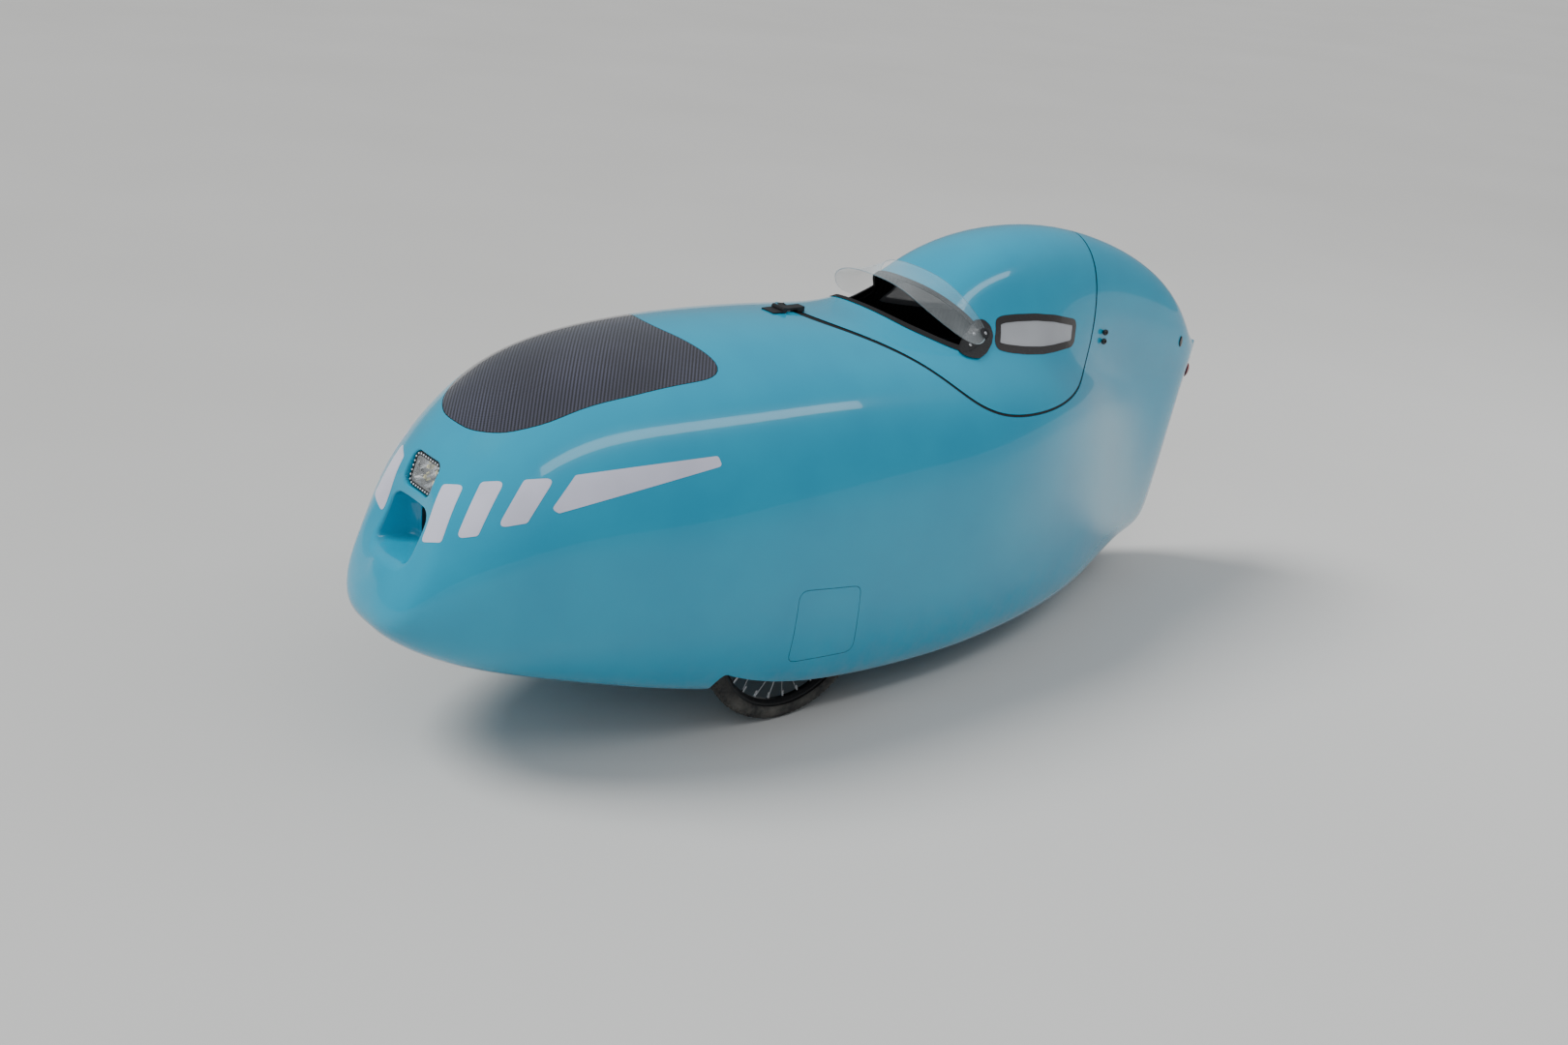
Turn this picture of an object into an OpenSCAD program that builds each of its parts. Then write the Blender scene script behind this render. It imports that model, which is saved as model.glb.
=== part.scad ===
// Velomobile: a faired recumbent tricycle.
// x points forward, y to the vehicle's left, z up, with the origin on the floor under the middle.
// Places along the vehicle are given as a distance s back from a line 20 mm ahead of the nose.

/* [Body] */
// Overall length, nose to tail
body_length = 2540; // [2120:5:3045]
// Overall width of the shell
body_width = 808; // [675:1:970]
// Height of the hood above the floor
body_height = 1005; // [840:1:1205]
// Thickness of the shell laminate
wall = 4; // [3:0.1:5]
// Gap round the canopy
canopy_gap = 6; // [5:0.5:8]
// Gap round the bolted panels
panel_gap = 0.8; // [0.5:0.1:0.9]

/* [Wheels] */
// Outer diameter of every tyre
tyre_diameter = 470; // [390:1:565]
// Width of every tyre
tyre_width = 40; // [32:1:48]
// Distance between the front tyres' middles
track = 600; // [560:5:640]
// Spokes in each wheel
spoke_count = 28; // [20:4:36]
// Largest turn of a front wheel, degrees
steer_angle = 12; // [8:1:14]

/* [Cockpit] */
// Width of the seat
seat_width = 320; // [270:5:380]
// Length of the cranks
crank_length = 150; // [125:5:175]

/* [Hidden] */
$fn = 48;

length_ratio = body_length / 2540;
width_ratio = body_width / 808;
height_ratio = body_height / 1005;
ahead_x = body_length / 2 + 20 * length_ratio;

paint = "#1296b4";
wheel_radius = tyre_diameter / 2;
front_s = 905;
rear_s = 2140;
split_z = 400;
kingpin_lean = 13;
pivot_s = 1500;
pivot_z = 809;
visor_raise = 22;

// One row for each station: distance from the nose, lean, keel height, seven points
// [half width, height] up one side, crown height.
STATIONS = [
    [45, 0.1, 385, [[10, 387], [20, 391], [28, 400], [28, 415], [22, 426], [16, 436], [8, 442]], 444],
    [58, 0.55, 318, [[50, 318], [94, 333], [135, 380], [126, 442], [94, 503], [63, 524], [34, 544]], 555],
    [72, 0.3, 280, [[74, 280], [127, 304], [160, 362], [154, 476], [120, 558], [80, 591], [40, 608]], 616],
    [167, 0.13, 225, [[134, 225], [210, 246], [260, 343], [252, 520], [190, 629], [126, 671], [71, 696]], 700],
    [364, 0, 176, [[205, 176], [284, 200], [340, 349], [331, 575], [252, 724], [172, 787], [98, 816]], 830],
    [585, 0, 130, [[265, 130], [345, 145], [400, 320], [385, 580], [300, 750], [200, 815], [110, 855]], 865],
    [815, 0, 110, [[290, 105], [380, 100], [415, 310], [395, 590], [310, 760], [200, 825], [110, 860]], 875],
    [1045, 0, 95, [[295, 92], [395, 75], [410, 300], [390, 600], [300, 765], [195, 820], [105, 855]], 862],
    [1255, 0, 95, [[295, 85], [395, 70], [400, 300], [380, 610], [290, 755], [190, 800], [105, 835]], 838],
    [1375, 0, 95, [[285, 85], [392, 70], [395, 300], [375, 615], [285, 750], [188, 795], [115, 870]], 880],
    [1505, 0, 95, [[275, 85], [380, 75], [380, 310], [365, 620], [280, 740], [185, 800], [135, 950]], 975],
    [1685, 0, 100, [[250, 90], [350, 80], [340, 320], [330, 620], [250, 710], [185, 790], [150, 975]], 1028],
    [1895, 0, 105, [[200, 100], [290, 90], [270, 320], [250, 590], [170, 660], [155, 760], [130, 955]], 1030],
    [2095, 0.05, 115, [[140, 110], [200, 110], [180, 310], [150, 520], [90, 600], [110, 700], [90, 890]], 970],
    [2275, 0.1, 120, [[85, 115], [120, 125], [105, 290], [80, 450], [60, 560], [80, 650], [60, 800]], 880],
    [2405, 0.15, 115, [[55, 110], [70, 120], [65, 270], [55, 430], [45, 540], [55, 620], [40, 720]], 760],
    [2480, 0.2, 115, [[35, 110], [40, 115], [40, 270], [35, 430], [30, 540], [35, 590], [25, 620]], 650],
    [2515, 0.2, 115, [[5, 110], [5, 115], [5, 270], [5, 430], [5, 540], [5, 590], [5, 620]], 630]];

// Side outlines as [distance from the nose, height]; plan outline as [distance, half width]
CANOPY_SIDE = [[1000, 1000], [1010, 872], [1090, 852], [1180, 822], [1265, 782], [1330, 731], [1388, 688],
    [1460, 657], [1550, 641], [1680, 633], [1805, 636], [1905, 655], [1945, 705], [1960, 780], [1967, 860],
    [1969, 950], [1970, 1100], [1970, 1300], [1000, 1300]];
VISOR_SIDE = [[1235, 1000], [1235, 860], [1330, 818], [1425, 776], [1470, 780], [1500, 809], [1485, 844],
    [1395, 917], [1300, 1012]];
WINDOW_SIDE = [[1532, 778], [1553, 842], [1675, 842], [1870, 800], [1850, 738], [1667, 750]];
BONNET_PLAN = [[222, 55], [258, 125], [330, 172], [500, 205], [700, 218], [738, 200], [700, 105], [676, 35]];
HATCH_SIDE = [[832, 190], [836, 368], [1012, 345], [1014, 180]];

rows = 38;
columns = 40;

// ---------- shape of the body ----------

function at(s, y, z) = [ahead_x - s * length_ratio, y * width_ratio, z * height_ratio];

function ring(station) =
    let (half = [[0, station[2]], each station[3], [0, station[4]]])
    [each half, for (i = [len(half) - 2 : -1 : 1]) [-half[i][0], half[i][1]]];

NET = [for (station = STATIONS)
    [for (p = ring(station)) at(station[0] + station[1] * (p[1] - 400), p[0], p[1])]];

// Weights of the four control points that shape a cubic B-spline at fraction f
function weights(f) = [pow(1 - f, 3), 3 * pow(f, 3) - 6 * f * f + 4,
    -3 * pow(f, 3) + 3 * f * f + 3 * f + 1, pow(f, 3)] / 6;

function held(i, last) = min(max(i, 0), last);

function control_row(u) =
    let (i = floor(u), w = weights(u - i), last = len(NET) - 1)
    [for (j = [0 : 15]) w * [for (k = [0 : 3]) NET[held(i + k - 2, last)][j]]];

function along_ring(points, v) =
    let (i = floor(v), w = weights(v - i))
    w * [for (k = [0 : 3]) points[(i + k + 15) % 16]];

GRID = [for (i = [0 : rows])
    let (points = control_row(i * (len(NET) + 1) / rows))
    [for (j = [0 : columns - 1]) along_ring(points, j * 16 / columns)]];

function unit(v) = v / max(norm(v), 0.001);

function normal(i, j) = unit(cross(
    GRID[min(i + 1, rows)][j] - GRID[max(i - 1, 0)][j],
    GRID[i][(j + 1) % columns] - GRID[i][(j + columns - 1) % columns]));

function moved(i, j, d) = d == 0 ? GRID[i][j] : GRID[i][j] + d * normal(i, j);

// Closed surface through the grid, moved outwards by d
module skin(d, last = rows) {
    points = [for (i = [0 : last]) for (j = [0 : columns - 1]) moved(i, j, d)];
    faces = [[for (j = [columns - 1 : -1 : 0]) j],
        [for (j = [0 : columns - 1]) last * columns + j],
        for (i = [0 : last - 1]) for (j = [0 : columns - 1])
            let (a = i * columns + j, b = i * columns + (j + 1) % columns)
            each [[a, b, a + columns], [b, b + columns, a + columns]]];
    polyhedron(points, faces);
}

// Last row whose inside still leaves room between the two sides of the fin
inner_last = rows - 5;

module outer_skin() skin(0);

module inner_skin() skin(-wall, inner_last);

module shell() {
    difference() {
        outer_skin();
        inner_skin();
    }
}

// The cut shell as one continuous mesh
module one_mesh() resize([0, 0, 0]) children();

// Height of the crown and half width of the side, read off the grid
CROWN = [for (i = [0 : rows]) [ahead_x - GRID[i][columns / 2][0], GRID[i][columns / 2][2]]];

function crown_z(s) = lookup(s * length_ratio, CROWN);

function side_y(s, z) =
    let (i = max([for (k = [0 : rows]) ahead_x - GRID[k][10][0] < s * length_ratio ? k : 0]))
    lookup(z * height_ratio, [for (j = [4 : columns / 2 - 2]) [GRID[i][j][2], GRID[i][j][1]]]);

// Rounds a list of [s, z] points through a cubic curve
function rounded(outline, steps = 3) =
    let (n = len(outline))
    [for (i = [0 : n - 1]) for (q = [0 : steps - 1])
        let (w = weights(q / steps))
        w * [for (k = [0 : 3]) outline[(i + k + n - 1) % n]]];

// A side outline pushed through the body along y, from y0 to y1
module side_cut(outline, y0, y1, grow = 0) {
    translate([0, y1, 0]) rotate([90, 0, 0]) linear_extrude(y1 - y0) offset(delta = grow)
        polygon([for (p = outline) [ahead_x - p[0] * length_ratio, p[1] * height_ratio]]);
}

// A plan outline, mirrored to both sides, pushed up through the body
module plan_cut(outline, round_by, grow = 0) {
    half = [for (p = outline) [ahead_x - p[0] * length_ratio, p[1] * width_ratio]];
    other = [for (i = [len(half) - 1 : -1 : 0]) [half[i][0], -half[i][1]]];
    translate([0, 0, split_z * height_ratio]) linear_extrude(700) offset(delta = grow)
        offset(r = round_by) offset(delta = -round_by) polygon([each half, each other]);
}

// A rounded box outline in the front view, pushed back along x from the nose
module front_cut(y_half, z_low, z_high, round_by, depth, grow = 0) {
    translate([body_length / 2 - depth, 0, 0]) rotate([90, 0, 90]) linear_extrude(depth + 50)
        offset(delta = grow) offset(r = round_by) offset(delta = -round_by)
        translate([-y_half * width_ratio, z_low * height_ratio])
        square([2 * y_half * width_ratio, (z_high - z_low) * height_ratio]);
}

module above_split() {
    translate([-body_length, -body_width, split_z * height_ratio])
        cube([2 * body_length, 2 * body_width, 2 * body_height]);
}

module below_split() {
    translate([-body_length, -body_width, split_z * height_ratio - 2 * body_height])
        cube([2 * body_length, 2 * body_width, 2 * body_height]);
}

// A block standing on the inside of the floor, trimmed to the shell
module on_floor() {
    one_mesh() intersection() {
        inner_skin();
        children();
    }
}

module on_both_sides() {
    children();
    mirror([0, 1, 0]) children();
}

// The right-hand piece is the left-hand one mirrored
module on_side(side) {
    if (side > 0) children();
    else mirror([0, 1, 0]) children();
}

front_x = ahead_x - front_s * length_ratio;
rear_x = ahead_x - rear_s * length_ratio;
wheel_y = track / 2;

// ---------- shell panels ----------

opening_half = wheel_radius + 6;
opening_side = tyre_width / 2 + (wheel_radius - 30) * sin(steer_angle) + 7;

module front_wheel_opening() {
    translate([front_x, wheel_y - 2, -10]) linear_extrude(split_z * 0.5)
        offset(r = 25) square([2 * opening_half - 50, 2 * opening_side - 50], center = true);
}

module rear_wheel_opening() {
    translate([rear_x, 0, -10]) linear_extrude(split_z * 0.5)
        offset(r = 20) square([2 * opening_half - 40, tyre_width + 30 - 40], center = true);
}

module lower_shell() {
    color(paint) one_mesh() difference() {
        intersection() {
            shell();
            below_split();
        }
        on_both_sides() front_wheel_opening();
        rear_wheel_opening();
        on_both_sides() side_cut(HATCH_OUTLINE, 150, 600, panel_gap / 2);
    }
}

HATCH_OUTLINE = rounded([for (i = [0 : 3]) for (t = [0.12, 0.88])
    HATCH_SIDE[i] * (1 - t) + HATCH_SIDE[(i + 1) % 4] * t], 3);
CANOPY_OUTLINE = rounded(CANOPY_SIDE, 2);
VISOR_OUTLINE = rounded(VISOR_SIDE, 3);
WINDOW_OUTLINE = rounded([for (i = [0 : 5]) for (t = [0.15, 0.85])
    WINDOW_SIDE[i] * (1 - t) + WINDOW_SIDE[(i + 1) % 6] * t], 2);

module upper_shell() {
    color(paint) one_mesh() difference() {
        intersection() {
            shell();
            above_split();
        }
        side_cut(CANOPY_OUTLINE, -700, 700, canopy_gap / 2);
        plan_cut(BONNET_PLAN, 45, panel_gap / 2);
        on_lamp() translate([0, 0, -60]) linear_extrude(160) offset(r = 20)
            square([96 * width_ratio - 40, 78 * height_ratio - 40], center = true);
        front_cut(90, 439, 549, 25, 200);
        for (z = insert_z) translate([insert_x, insert_y, z]) rotate([-90, 0, 0])
            cylinder(d = 9.4, h = 60, center = true, $fn = 24);
    }
}

module bonnet_panel() {
    color("#3a3a42") one_mesh() intersection() {
        shell();
        plan_cut(BONNET_PLAN, 45, -panel_gap / 2);
    }
}

module service_hatch(side) {
    color(paint) one_mesh() intersection() {
        shell();
        on_side(side) side_cut(HATCH_OUTLINE, 150, 600, -panel_gap / 2);
    }
}

module canopy_shell() {
    color(paint) one_mesh() difference() {
        intersection() {
            shell();
            side_cut(CANOPY_OUTLINE, -700, 700, -canopy_gap / 2);
        }
        side_cut(VISOR_OUTLINE, -700, 700);
        on_both_sides() side_cut(WINDOW_OUTLINE, 60, 700);
    }
}

module side_window(side) {
    color("#55504c") one_mesh() intersection() {
        difference() {
            skin(-0.5);
            skin(-wall + 0.5, inner_last);
        }
        on_side(side) side_cut(WINDOW_OUTLINE, 60, 700, -0.3);
    }
}

module visor_seal() {
    color("#1b1b1d") one_mesh() difference() {
        intersection() {
            skin(1.5);
            side_cut(VISOR_OUTLINE, -700, 700, -0.3);
        }
        skin(-wall - 1.5, inner_last);
        side_cut(VISOR_OUTLINE, -700, 700, -7);
        difference() {
            on_both_sides() pivot_post(36.8, -40, 40);
            skin(-0.3);
        }
    }
}

module visor() {
    turn_at = at(pivot_s, 0, pivot_z);
    color("#c8d8dc", 0.5) one_mesh() difference() {
        translate(turn_at) rotate([0, -visor_raise, 0]) translate(-turn_at) intersection() {
            difference() {
                skin(8);
                skin(5.5, rows - 1);
            }
            side_cut(rounded([[1222, 1012], [1222, 862], [1320, 818], [1420, 782], [1480, 787], [1512, 812],
                [1490, 842], [1395, 912], [1300, 1012]], 3), -700, 700);
        }
        on_both_sides() pivot_post(12.6, -30, 60);
        skin(5.3);
    }
}

// ---------- nose fittings ----------

module air_intake() {
    color(paint) one_mesh() intersection() {
        outer_skin();
        translate([ahead_x - 65 * length_ratio, 0, 494 * height_ratio]) rotate([0, -90, 0]) difference() {
            intake_block(54.6 * height_ratio, 89.6 * width_ratio, 25);
            intake_block(51 * height_ratio, 86 * width_ratio, 22, 3);
            translate([0, 0, 60]) linear_extrude(200) offset(r = 12)
                square([44 * height_ratio, 70 * width_ratio], center = true);
        }
    }
}

module intake_block(half_high, half_wide, round_by, lift = 0) {
    hull() {
        translate([0, 0, -20 - lift]) linear_extrude(120) offset(r = round_by)
            square([2 * half_high - 2 * round_by, 2 * half_wide - 2 * round_by], center = true);
        translate([0, 0, 180 - lift]) linear_extrude(1) offset(r = round_by)
            square([1.4 * half_high - 1.8 * round_by, 1.4 * half_wide - 2 * round_by], center = true);
    }
}

lamp_x = ahead_x - 165 * length_ratio;
lamp_tilt = 18;

// The lamp faces forwards and a little up, in line with the skin round it
module on_lamp() {
    translate([lamp_x, 0, 599 * height_ratio]) rotate([0, -lamp_tilt, 0]) rotate([90, 0, 90]) children();
}

module headlight_housing() {
    color("#161618") on_lamp() difference() {
        translate([0, 0, -35]) linear_extrude(48) offset(r = 20)
            square([95.4 * width_ratio - 40, 77.4 * height_ratio - 40], center = true);
        translate([0, 0, -27]) linear_extrude(70) offset(r = 14)
            square([82 * width_ratio - 28, 64 * height_ratio - 28], center = true);
    }
}

module headlight_lens() {
    color("#dfe6ea", 0.6) on_lamp() translate([0, 0, 2]) linear_extrude(6) offset(r = 13.7)
        square([82 * width_ratio - 28, 64 * height_ratio - 28], center = true);
}

module rear_light() {
    color("#2a0d0f") one_mesh() difference() {
        translate(at(2540, 0, 545)) scale([20, 14, 26]) sphere(1, $fn = 24);
        outer_skin();
    }
}

// ---------- wheel boxes and suspension ----------

box_radius = wheel_radius + 22;
box_inner_y = wheel_y - 136;

module wheel_box(side) {
    color("#26282c") one_mesh() intersection() {
        inner_skin();
        on_side(side) translate([front_x, 0, wheel_radius]) difference() {
            union() {
                translate([0, 600, 0]) rotate([90, 0, 0]) cylinder(r = box_radius + 3, h = 600 - box_inner_y);
                translate([-box_radius - 3, box_inner_y, -wheel_radius])
                    cube([2 * box_radius + 6, 600 - box_inner_y, wheel_radius]);
            }
            translate([0, 601, 0]) rotate([90, 0, 0]) cylinder(r = box_radius, h = 598 - box_inner_y);
            translate([-box_radius, box_inner_y + 3, -wheel_radius - 1])
                cube([2 * box_radius, 600 - box_inner_y, wheel_radius + 1]);
            translate([-45, box_inner_y - 5, -wheel_radius]) cube([90, 20, 160]);
        }
    }
}

module rear_wheel_box() {
    color("#26282c") one_mesh() intersection() {
        inner_skin();
        translate([rear_x, 0, wheel_radius]) difference() {
            union() {
                translate([0, 73, 0]) rotate([90, 0, 0]) cylinder(r = box_radius + 3, h = 146);
                translate([-box_radius - 3, -73, -wheel_radius]) cube([2 * box_radius + 6, 146, wheel_radius]);
            }
            translate([0, 70, 0]) rotate([90, 0, 0]) cylinder(r = box_radius, h = 140);
            translate([-box_radius, -70, -wheel_radius - 1]) cube([2 * box_radius, 140, wheel_radius + 1]);
        }
    }
}

// The kingpin axis meets the floor under the tyre and leans inwards going up
module on_kingpin(z) {
    translate([front_x, wheel_y, 0]) rotate([kingpin_lean, 0, 0]) translate([0, 0, z]) children();
}

strut_top = (wheel_radius + box_radius - 0.4 - 17 * sin(kingpin_lean)) / cos(kingpin_lean);

// Height of the lower ball joint along the kingpin, clear of the floor
ball_h = max(wheel_radius - 106, 128 * height_ratio);

module strut(side) {
    color("#8e9296") on_side(side) {
        on_kingpin(wheel_radius + 40) cylinder(d = 14, h = strut_top - wheel_radius - 40);
        on_kingpin(wheel_radius + 110) cylinder(d = 34, h = strut_top - wheel_radius - 110);
    }
}

module lower_arm(side) {
    ball_z = ball_h * cos(kingpin_lean);
    ball_y = wheel_y - ball_h * sin(kingpin_lean);
    color("#2f3135") difference() {
        union() {
            on_side(side) translate([front_x, ball_y, ball_z]) rotate([90, 0, 0])
                cylinder(d = 18, h = ball_y - 95);
            on_floor() on_side(side) translate([front_x - 40, 88, 60]) cube([80, 12, ball_z - 46]);
            on_side(side) on_kingpin(ball_h - 11) cylinder(d = 26, h = 22);
        }
        on_side(side) on_kingpin(ball_h - 20) cylinder(d = 12.6, h = 40);
    }
}

module knuckle(side) {
    color("#9a9da1") on_side(side) difference() {
        union() {
            on_kingpin(ball_h - 8) cylinder(d = 12, h = 30);
            on_kingpin(ball_h + 18) cylinder(d = 30, h = wheel_radius + 82 - ball_h);
            translate([front_x, wheel_y + 26, wheel_radius]) rotate([90, 0, 0]) cylinder(d = 12, h = 70);
            translate([front_x, wheel_y - 30, wheel_radius]) rotate([90, 0, 0]) cylinder(d = 30, h = 20);
            translate([front_x, wheel_y - 50, wheel_radius - 70]) rotate([0, -90, 0]) cylinder(d = 12, h = 62);
        }
        on_kingpin(wheel_radius + 30) cylinder(d = 14.6, h = 200);
    }
}

// ---------- wheels ----------

module tyre_at(x, y) {
    color("#17181a") translate([x, y, wheel_radius]) rotate([90, 0, 0])
        rotate_extrude($fn = 96) difference() {
            translate([wheel_radius - tyre_width / 2, 0]) circle(d = tyre_width, $fn = 40);
            translate([wheel_radius - tyre_width - 20, -tyre_width])
                square([20 + tyre_width * 0.22, 2 * tyre_width]);
        }
}

rim_radius = wheel_radius - tyre_width * 0.78;

module rim_ring() {
    rotate_extrude($fn = 96) translate([rim_radius - 16, 0])
        polygon([[0, -5], [0, 5], [7, 12], [15.5, 12], [15.5, -12], [7, -12]]);
}

module spoke(flange_radius, flange_y, turn, lace) {
    near = [flange_radius * cos(turn + lace), flange_radius * sin(turn + lace), flange_y];
    far = [(rim_radius - 12) * cos(turn), (rim_radius - 12) * sin(turn), 0];
    along = far - near;
    translate(near) rotate([0, acos(along[2] / norm(along)), atan2(along[1], along[0])])
        cylinder(d = 2.4, h = norm(along), $fn = 16);
}

module spoked_wheel(flange_radius, flange_half) {
    union() {
        rim_ring();
        for (i = [0 : spoke_count - 1])
            spoke(flange_radius - 2, (i % 2 == 0 ? 1 : -1) * flange_half, i * 360 / spoke_count,
                (i % 4 < 2 ? 1 : -1) * 40);
    }
}

module front_wheel(side) {
    color("#b4b8bc") on_side(side) translate([front_x, wheel_y, wheel_radius]) rotate([90, 0, 0])
        difference() {
            union() {
                spoked_wheel(45, 12);
                translate([0, 0, -18]) cylinder(d = 96, h = 36);
                translate([0, 0, -24]) cylinder(d = 34, h = 44);
            }
            translate([0, 0, -30]) cylinder(d = 12.6, h = 70);
            translate([0, 0, 9]) cylinder(d = 84, h = 30);
        }
}

module rear_wheel() {
    color("#b4b8bc") translate([rear_x, 0, wheel_radius]) rotate([90, 0, 0]) difference() {
        union() {
            spoked_wheel(30, 20);
            translate([0, 0, -24]) cylinder(d = 64, h = 8);
            translate([0, 0, 16]) cylinder(d = 64, h = 8);
            translate([0, 0, -34]) cylinder(d = 40, h = 88.5);
            for (k = [0 : 6]) translate([0, 0, 27 + 4.2 * k]) cylinder(d = 104 - 10 * k, h = 2);
        }
        translate([0, 0, -60]) cylinder(d = 12.6, h = 140);
    }
}

module rear_swing_arm() {
    color("#2f3135") {
        translate([rear_x, 66, wheel_radius]) rotate([90, 0, 0]) cylinder(d = 12, h = 132);
        for (y = [-68, 60]) hull() {
            translate([rear_x, y + 8, wheel_radius]) rotate([90, 0, 0]) cylinder(d = 30, h = 8);
            translate([rear_x + box_radius - 32, y + 8, wheel_radius - 35]) rotate([90, 0, 0]) cylinder(d = 40, h = 8);
        }
        for (y = [-69.6, 60]) translate([rear_x + box_radius - 32, y + 9.6, wheel_radius - 35])
            rotate([90, 0, 0]) cylinder(d = 24, h = 9.6);
    }
}

// ---------- cockpit ----------

SEAT_LINE = [[1180, 235], [1235, 205], [1320, 158], [1400, 150], [1470, 190], [1560, 300], [1650, 430],
    [1730, 545], [1790, 640]];

// A line of points moved sideways by lift
function beside(line, lift) = [for (i = [0 : len(line) - 1])
    let (a = line[max(i - 1, 0)], b = line[min(i + 1, len(line) - 1)], d = unit(b - a))
    line[i] + lift * [-d[1], d[0]]];

// A curved sheet between two lifts of a side line
module seat_layer(low, high, half_width, line = SEAT_LINE) {
    lower = beside(line, low);
    upper = beside(line, high);
    edge = [each upper, for (i = [len(lower) - 1 : -1 : 0]) lower[i]];
    side_cut(edge, -half_width, half_width);
}

module seat_shell() {
    color("#26282c") seat_layer(0, 5, seat_width / 2);
}

module seat_pad() {
    color("#3b3f45") seat_layer(5.2, 25, seat_width / 2 - 20);
}

module seat_support() {
    color("#26282c") on_floor() translate(at(1400, -60, 0)) cube([30, 120, 149.5 * height_ratio]);
}

HEAD_LINE = [[1768, 605], [1790, 640], [1812, 685], [1830, 740], [1842, 800]];

module headrest() {
    color("#2b2d31") {
        seat_layer(-7, -0.5, 30, HEAD_LINE);
        seat_layer(-2, 28, 85, [for (i = [2 : 4]) HEAD_LINE[i]]);
    }
}

tiller_x = ahead_x - 1050 * length_ratio;
tiller_foot = 110 * height_ratio;

module tiller_bearing() {
    color("#8e9296") translate([tiller_x, 0, 0]) difference() {
        union() {
            translate([-tiller_x, 0, 0]) on_floor() translate([tiller_x, 0, 0])
                cylinder(d = 80, h = tiller_foot);
            translate([0, 0, tiller_foot - 2]) cylinder(d = 44, h = 62);
        }
        translate([0, 0, tiller_foot + 2]) cylinder(d = 26.6, h = 80);
    }
}

module rod(from, to, d) {
    along = to - from;
    translate(from) rotate([0, acos(along[2] / norm(along)), atan2(along[1], along[0])])
        cylinder(d = d, h = norm(along));
}

module steering_tiller() {
    elbow = [tiller_x, 0, tiller_foot + 300 * height_ratio];
    grip = [tiller_x - 150 * length_ratio, 0, tiller_foot + 480 * height_ratio];
    color("#202226") {
        translate([tiller_x, 0, tiller_foot + 6]) cylinder(d = 26, h = 300 * height_ratio - 6);
        translate(elbow) sphere(d = 30);
        rod(elbow, grip, 26);
        translate(grip) rotate([90, 0, 0]) cylinder(d = 24, h = 180, center = true);
        for (y = [-90, 90]) translate(grip + [0, y, -30]) cylinder(d = 30, h = 110);
    }
}

crank_x = ahead_x - 460 * length_ratio;
crank_z = 440 * height_ratio;

module bottom_bracket_post() {
    foot = 185 * height_ratio;
    color("#26282c") difference() {
        union() {
            translate([crank_x, 0, crank_z]) rotate([90, 0, 0]) cylinder(d = 50, h = 66, center = true);
            translate([crank_x - 20, -16, foot]) cube([40, 32, crank_z - foot - 15]);
            on_floor() translate([crank_x - 60, -50, 60]) cube([120, 100, foot - 56]);
        }
        translate([crank_x, 0, crank_z]) rotate([90, 0, 0]) cylinder(d = 24.6, h = 90, center = true);
    }
}

crank_y = 52;

module crankset() {
    color("#3a3c40") translate([crank_x, 0, crank_z]) rotate([90, 0, 0]) {
        cylinder(d = 24, h = 2 * crank_y + 14, center = true);
        translate([0, 0, 39]) difference() {
            cylinder(d = 196, h = 4);
            for (i = [0 : 4]) rotate(i * 72) translate([55, 0, -1]) cylinder(d = 50, h = 6);
        }
        for (k = [0, 1]) rotate(k * 180) translate([0, 0, k == 0 ? crank_y - 7 : -crank_y - 7]) difference() {
            union() {
                cylinder(d = 34, h = 14);
                translate([0, -12, 0]) cube([crank_length, 24, 14]);
                translate([crank_length, 0, 0]) cylinder(d = 28, h = 14);
            }
            translate([crank_length, 0, -1]) cylinder(d = 14.6, h = 16);
        }
    }
}

module pedal(side) {
    color("#1b1b1d") translate([crank_x - side * crank_length, side * crank_y, crank_z]) {
        rotate([side * -90, 0, 0]) translate([0, 0, -7]) cylinder(d = 14, h = 100);
        translate([-42, side > 0 ? 10 : -95, -9]) cube([84, 85, 18]);
    }
}

// ---------- canopy hinge and visor pivots ----------

hinge_s = 1034;
hinge_x = ahead_x - hinge_s * length_ratio;
hinge_z = crown_z(hinge_s) + 6.6;

module hinge_base() {
    color("#1b1b1d") {
        for (y = [-13, 22]) translate([hinge_x, y, hinge_z]) rotate([90, 0, 0]) cylinder(d = 12, h = 9);
        translate([hinge_x, 0, hinge_z]) rotate([90, 0, 0]) cylinder(d = 5, h = 40, center = true);
        difference() {
            translate([hinge_x + 2, -22, hinge_z - 4.4]) cube([32, 44, 3]);
            translate([hinge_x, 0, hinge_z]) rotate([90, 0, 0]) cylinder(d = 14, h = 26, center = true);
        }
    }
}

module canopy_hinge() {
    foot_z = crown_z(hinge_s + 64) - 3;
    color("#1b1b1d") one_mesh() difference() {
        union() {
            translate([hinge_x, 0, hinge_z]) rotate([90, 0, 0]) cylinder(d = 12, h = 25, center = true);
            translate([hinge_x - 64, -12.5, hinge_z - 4]) cube([64, 25, 5]);
            translate([hinge_x - 64, -12.5, foot_z]) cube([20, 25, hinge_z - 2 - foot_z]);
        }
        skin(0.2);
        translate([hinge_x, 0, hinge_z]) rotate([90, 0, 0]) cylinder(d = 5.6, h = 60, center = true);
    }
}

module pivot_post(diameter, inner, outer) {
    translate([at(pivot_s, 0, pivot_z)[0], side_y(pivot_s, pivot_z), pivot_z * height_ratio])
        rotate([-90, 0, 0]) translate([0, 0, inner]) cylinder(d = diameter, h = outer - inner);
}

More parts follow.
